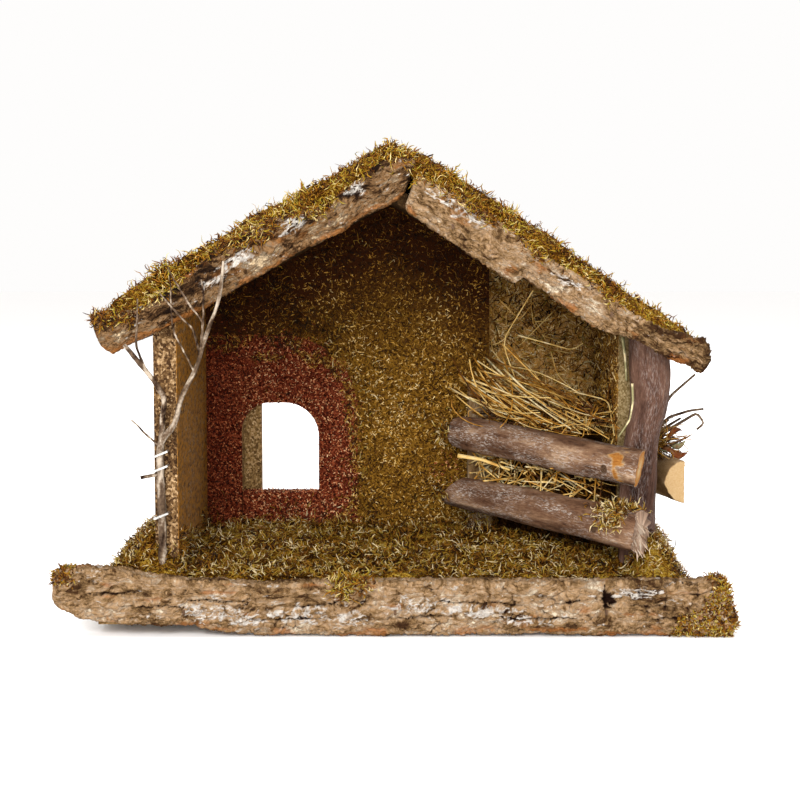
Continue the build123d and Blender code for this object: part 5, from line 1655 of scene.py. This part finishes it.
def side_tuft():
    """Dry tuft on the log: strands round a middle, twigs on their paths, dark stems and flat dead leaves."""
    rng = np.random.default_rng(281)
    low, high = box("side_clump")
    middle, half = (low + high) / 2, (high - low) / 2
    count = 700
    way = unit(rng.normal(size=(count, 3)))
    tone = rng.beta(2, 2, count)
    strands("side_clump_strands", middle + way * half * 0.45, way, tone, rng, (7.0, 15.0), (0.2, 0.45),
            (0.2, 1.2), 6, stands_for=("side_clump",))

    lines = np.stack([along_path(twig, len(SIDE_TWIG_GIRTH)) for twig in SIDE_TWIGS])
    verts, faces = tubes(lines, SIDE_TWIG_GIRTH * np.ones((len(lines), 1)), 7, 1.0, rng)
    tone = 0.35 + noise(verts, 4, 283, 3) * 0.4
    put("side_twigs_skin", verts, faces, TWIG, "twig", ("side_twigs",), tone=tone)

    count = 90
    way = unit(STEM_WAY + rng.normal(0, 0.5, (count, 3)))
    size = rng.uniform(10, 27, count)
    paths = bent_straws(middle + way * size[:, None] * 0.5, way, size, rng, bow=0.5)
    straws("side_stems", paths, rng.uniform(0.25, 0.5, count), rng, rng.uniform(0.0, 0.55, count), 0.8)

    count, sides = 16, 4
    way = unit(LEAF_WAY + rng.normal(0, 0.5, (count, 3)))
    places = middle + way * rng.uniform(6, 19, (count, 1))
    paths = bent_straws(places, way, rng.uniform(8, 13, count), rng, bow=0.6)
    verts, faces = tubes(paths, rng.uniform(1.6, 2.8, count)[:, None] * LEAF_SHARES, sides, 0.14, rng)
    tone = np.repeat(rng.random(count), sides * len(LEAF_SHARES))
    put("side_leaves", verts, faces, LEAF, "moss", tone=tone)


side_tuft()


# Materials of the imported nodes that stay

# How deep a stain lies in a board's face
SKIN = 0.2
CHIPS = shades("#5c3f1e", "#8d6a3c", "#ae8855", "#dcbb88", at=(0.0, 0.35, 0.65, 1.0))
AGED_CHIPS = shades("#1f1107", "#523820", "#86653f", "#d4b083", at=(0.0, 0.35, 0.68, 1.0))
DULL_CHIPS = shades("#5a4627", "#7d673f", "#957d55", "#b09a70", at=BRANCH_PLACES)
GREY_CHIPS = shades("#3e2812", "#7a5c37", "#a5814f", "#dcb988", at=BRANCH_PLACES)
DARK_CHIPS = shades("#1f1409", "#3a2714", "#513a20", "#725634", at=BRANCH_PLACES)


def dress(material, *names):
    """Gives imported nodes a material."""
    for name in names:
        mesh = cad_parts[name].data
        mesh.materials.clear()
        mesh.materials.append(material)


dress(chipboard_material("sawn_chipboard", CHIPS), "base_board", "back_wall")
dress(chipboard_material("fine_chipboard", GREY_CHIPS, 0.9), "rear_batten")
dress(
    chipboard_material(
        "chipboard_stained_inside", AGED_CHIPS, 0.95, "#c4842e", 0, "GREATER_THAN", left_inner_x - SKIN,
    ),
    "left_wall",
)
dress(
    chipboard_material(
        "chipboard_brushed_inside", DULL_CHIPS, 0.8, "#a8763a", 0, "LESS_THAN", right_inner_x + SKIN,
    ),
    "right_wall",
)
dress(
    chipboard_material("chipboard_glued_over", CHIPS, 1.2, "#c08a44", 1, "LESS_THAN", back_high[1] + SKIN),
    "right_back_board",
)
dress(chipboard_material("chipboard_stained_dark", DARK_CHIPS), "roof_panel_left", "roof_panel_right")
# The sawdust coat carries painted shade close under the roof boards.
dress(coat_material("glued_sawdust", shades("#2a1704", "#6b4814", "#946a24"), "#3a1d0c"), "sawdust_coat")
dress(
    coat_material("glued_red_sawdust", shades("#1c0602", "#5a2010", "#944a2e")),
    "brick_coat", "window_sill_block",
)
dress(steel_material("drawn_steel_wire", shades("#a8a49d", "#f2efe9", at=(0.3, 0.7)), 0.35), "twig_staples")
dress(
    steel_material("rusted_steel_wire", shades("#4c3626", "#8a6a50", at=(0.3, 0.7)), 0.7),
    "rail_nails", "base_brads", "back_brads", "roof_brads", "bark_brads",
)


# Stage, light and camera, in metres

PAPER = "#fefdfc"
FLOOR_HALF = 6
# Name, place, size and power of each soft light
LIGHTS = (
    ("key", (-0.5, -1.85, 1.1), 0.7, 40.0),
    ("front", (0.05, -1.75, 0.34), 0.5, 16.0),
    ("top", (0.1, 0.1, 1.7), 1.2, 12.0),
    ("rear", (0.5, 1.8, 1.0), 1.2, 30.0),
)
LIGHT_AIM = np.array([0, 0, 0.11])
SENSOR_MM, FOCUS_PX, PHOTO_PX = 36.0, 1725, 800
EYE, EYE_DIP = (0.0025, -0.95, 0.2005), 5.25


def stage():
    """Pale paper floor, soft studio light from the front and above, and the camera."""
    scene = bpy.context.scene
    material, _, shader = blank("pale_paper_floor", 0.9, 0.1)
    shader.inputs["Base Color"].default_value = linear(PAPER, 1.0)
    mesh = bpy.data.meshes.new("floor")
    corners = [(x * FLOOR_HALF, y * FLOOR_HALF, 0) for x, y in ((-1, -1), (1, -1), (1, 1), (-1, 1))]
    mesh.from_pydata(corners, [], [(0, 1, 2, 3)])
    mesh.materials.append(material)
    floor = bpy.data.objects.new("floor", mesh)
    scene.collection.objects.link(floor)

    world = bpy.data.worlds.new("studio")
    world.use_nodes = True
    sky = world.node_tree.nodes["Background"]
    sky.inputs["Color"].default_value = linear(PAPER, 1.0)
    sky.inputs["Strength"].default_value = 1.0
    scene.world = world
    for name, place, size, power in LIGHTS:
        light = bpy.data.lights.new(name, "AREA")
        light.size = size
        light.energy = power
        lamp = bpy.data.objects.new(name, light)
        lamp.location = place
        lamp.rotation_mode = "QUATERNION"
        lamp.rotation_quaternion = Vector(LIGHT_AIM - np.array(place)).to_track_quat("-Z", "Y")
        scene.collection.objects.link(lamp)

    camera = bpy.data.cameras.new("camera")
    camera.sensor_width = SENSOR_MM
    camera.lens = SENSOR_MM * FOCUS_PX / PHOTO_PX
    eye = bpy.data.objects.new("camera", camera)
    eye.location = EYE
    eye.rotation_euler = (math.radians(90 - EYE_DIP), 0, 0)
    scene.collection.objects.link(eye)
    scene.camera = eye
    scene.view_settings.view_transform = "Standard"


stage()
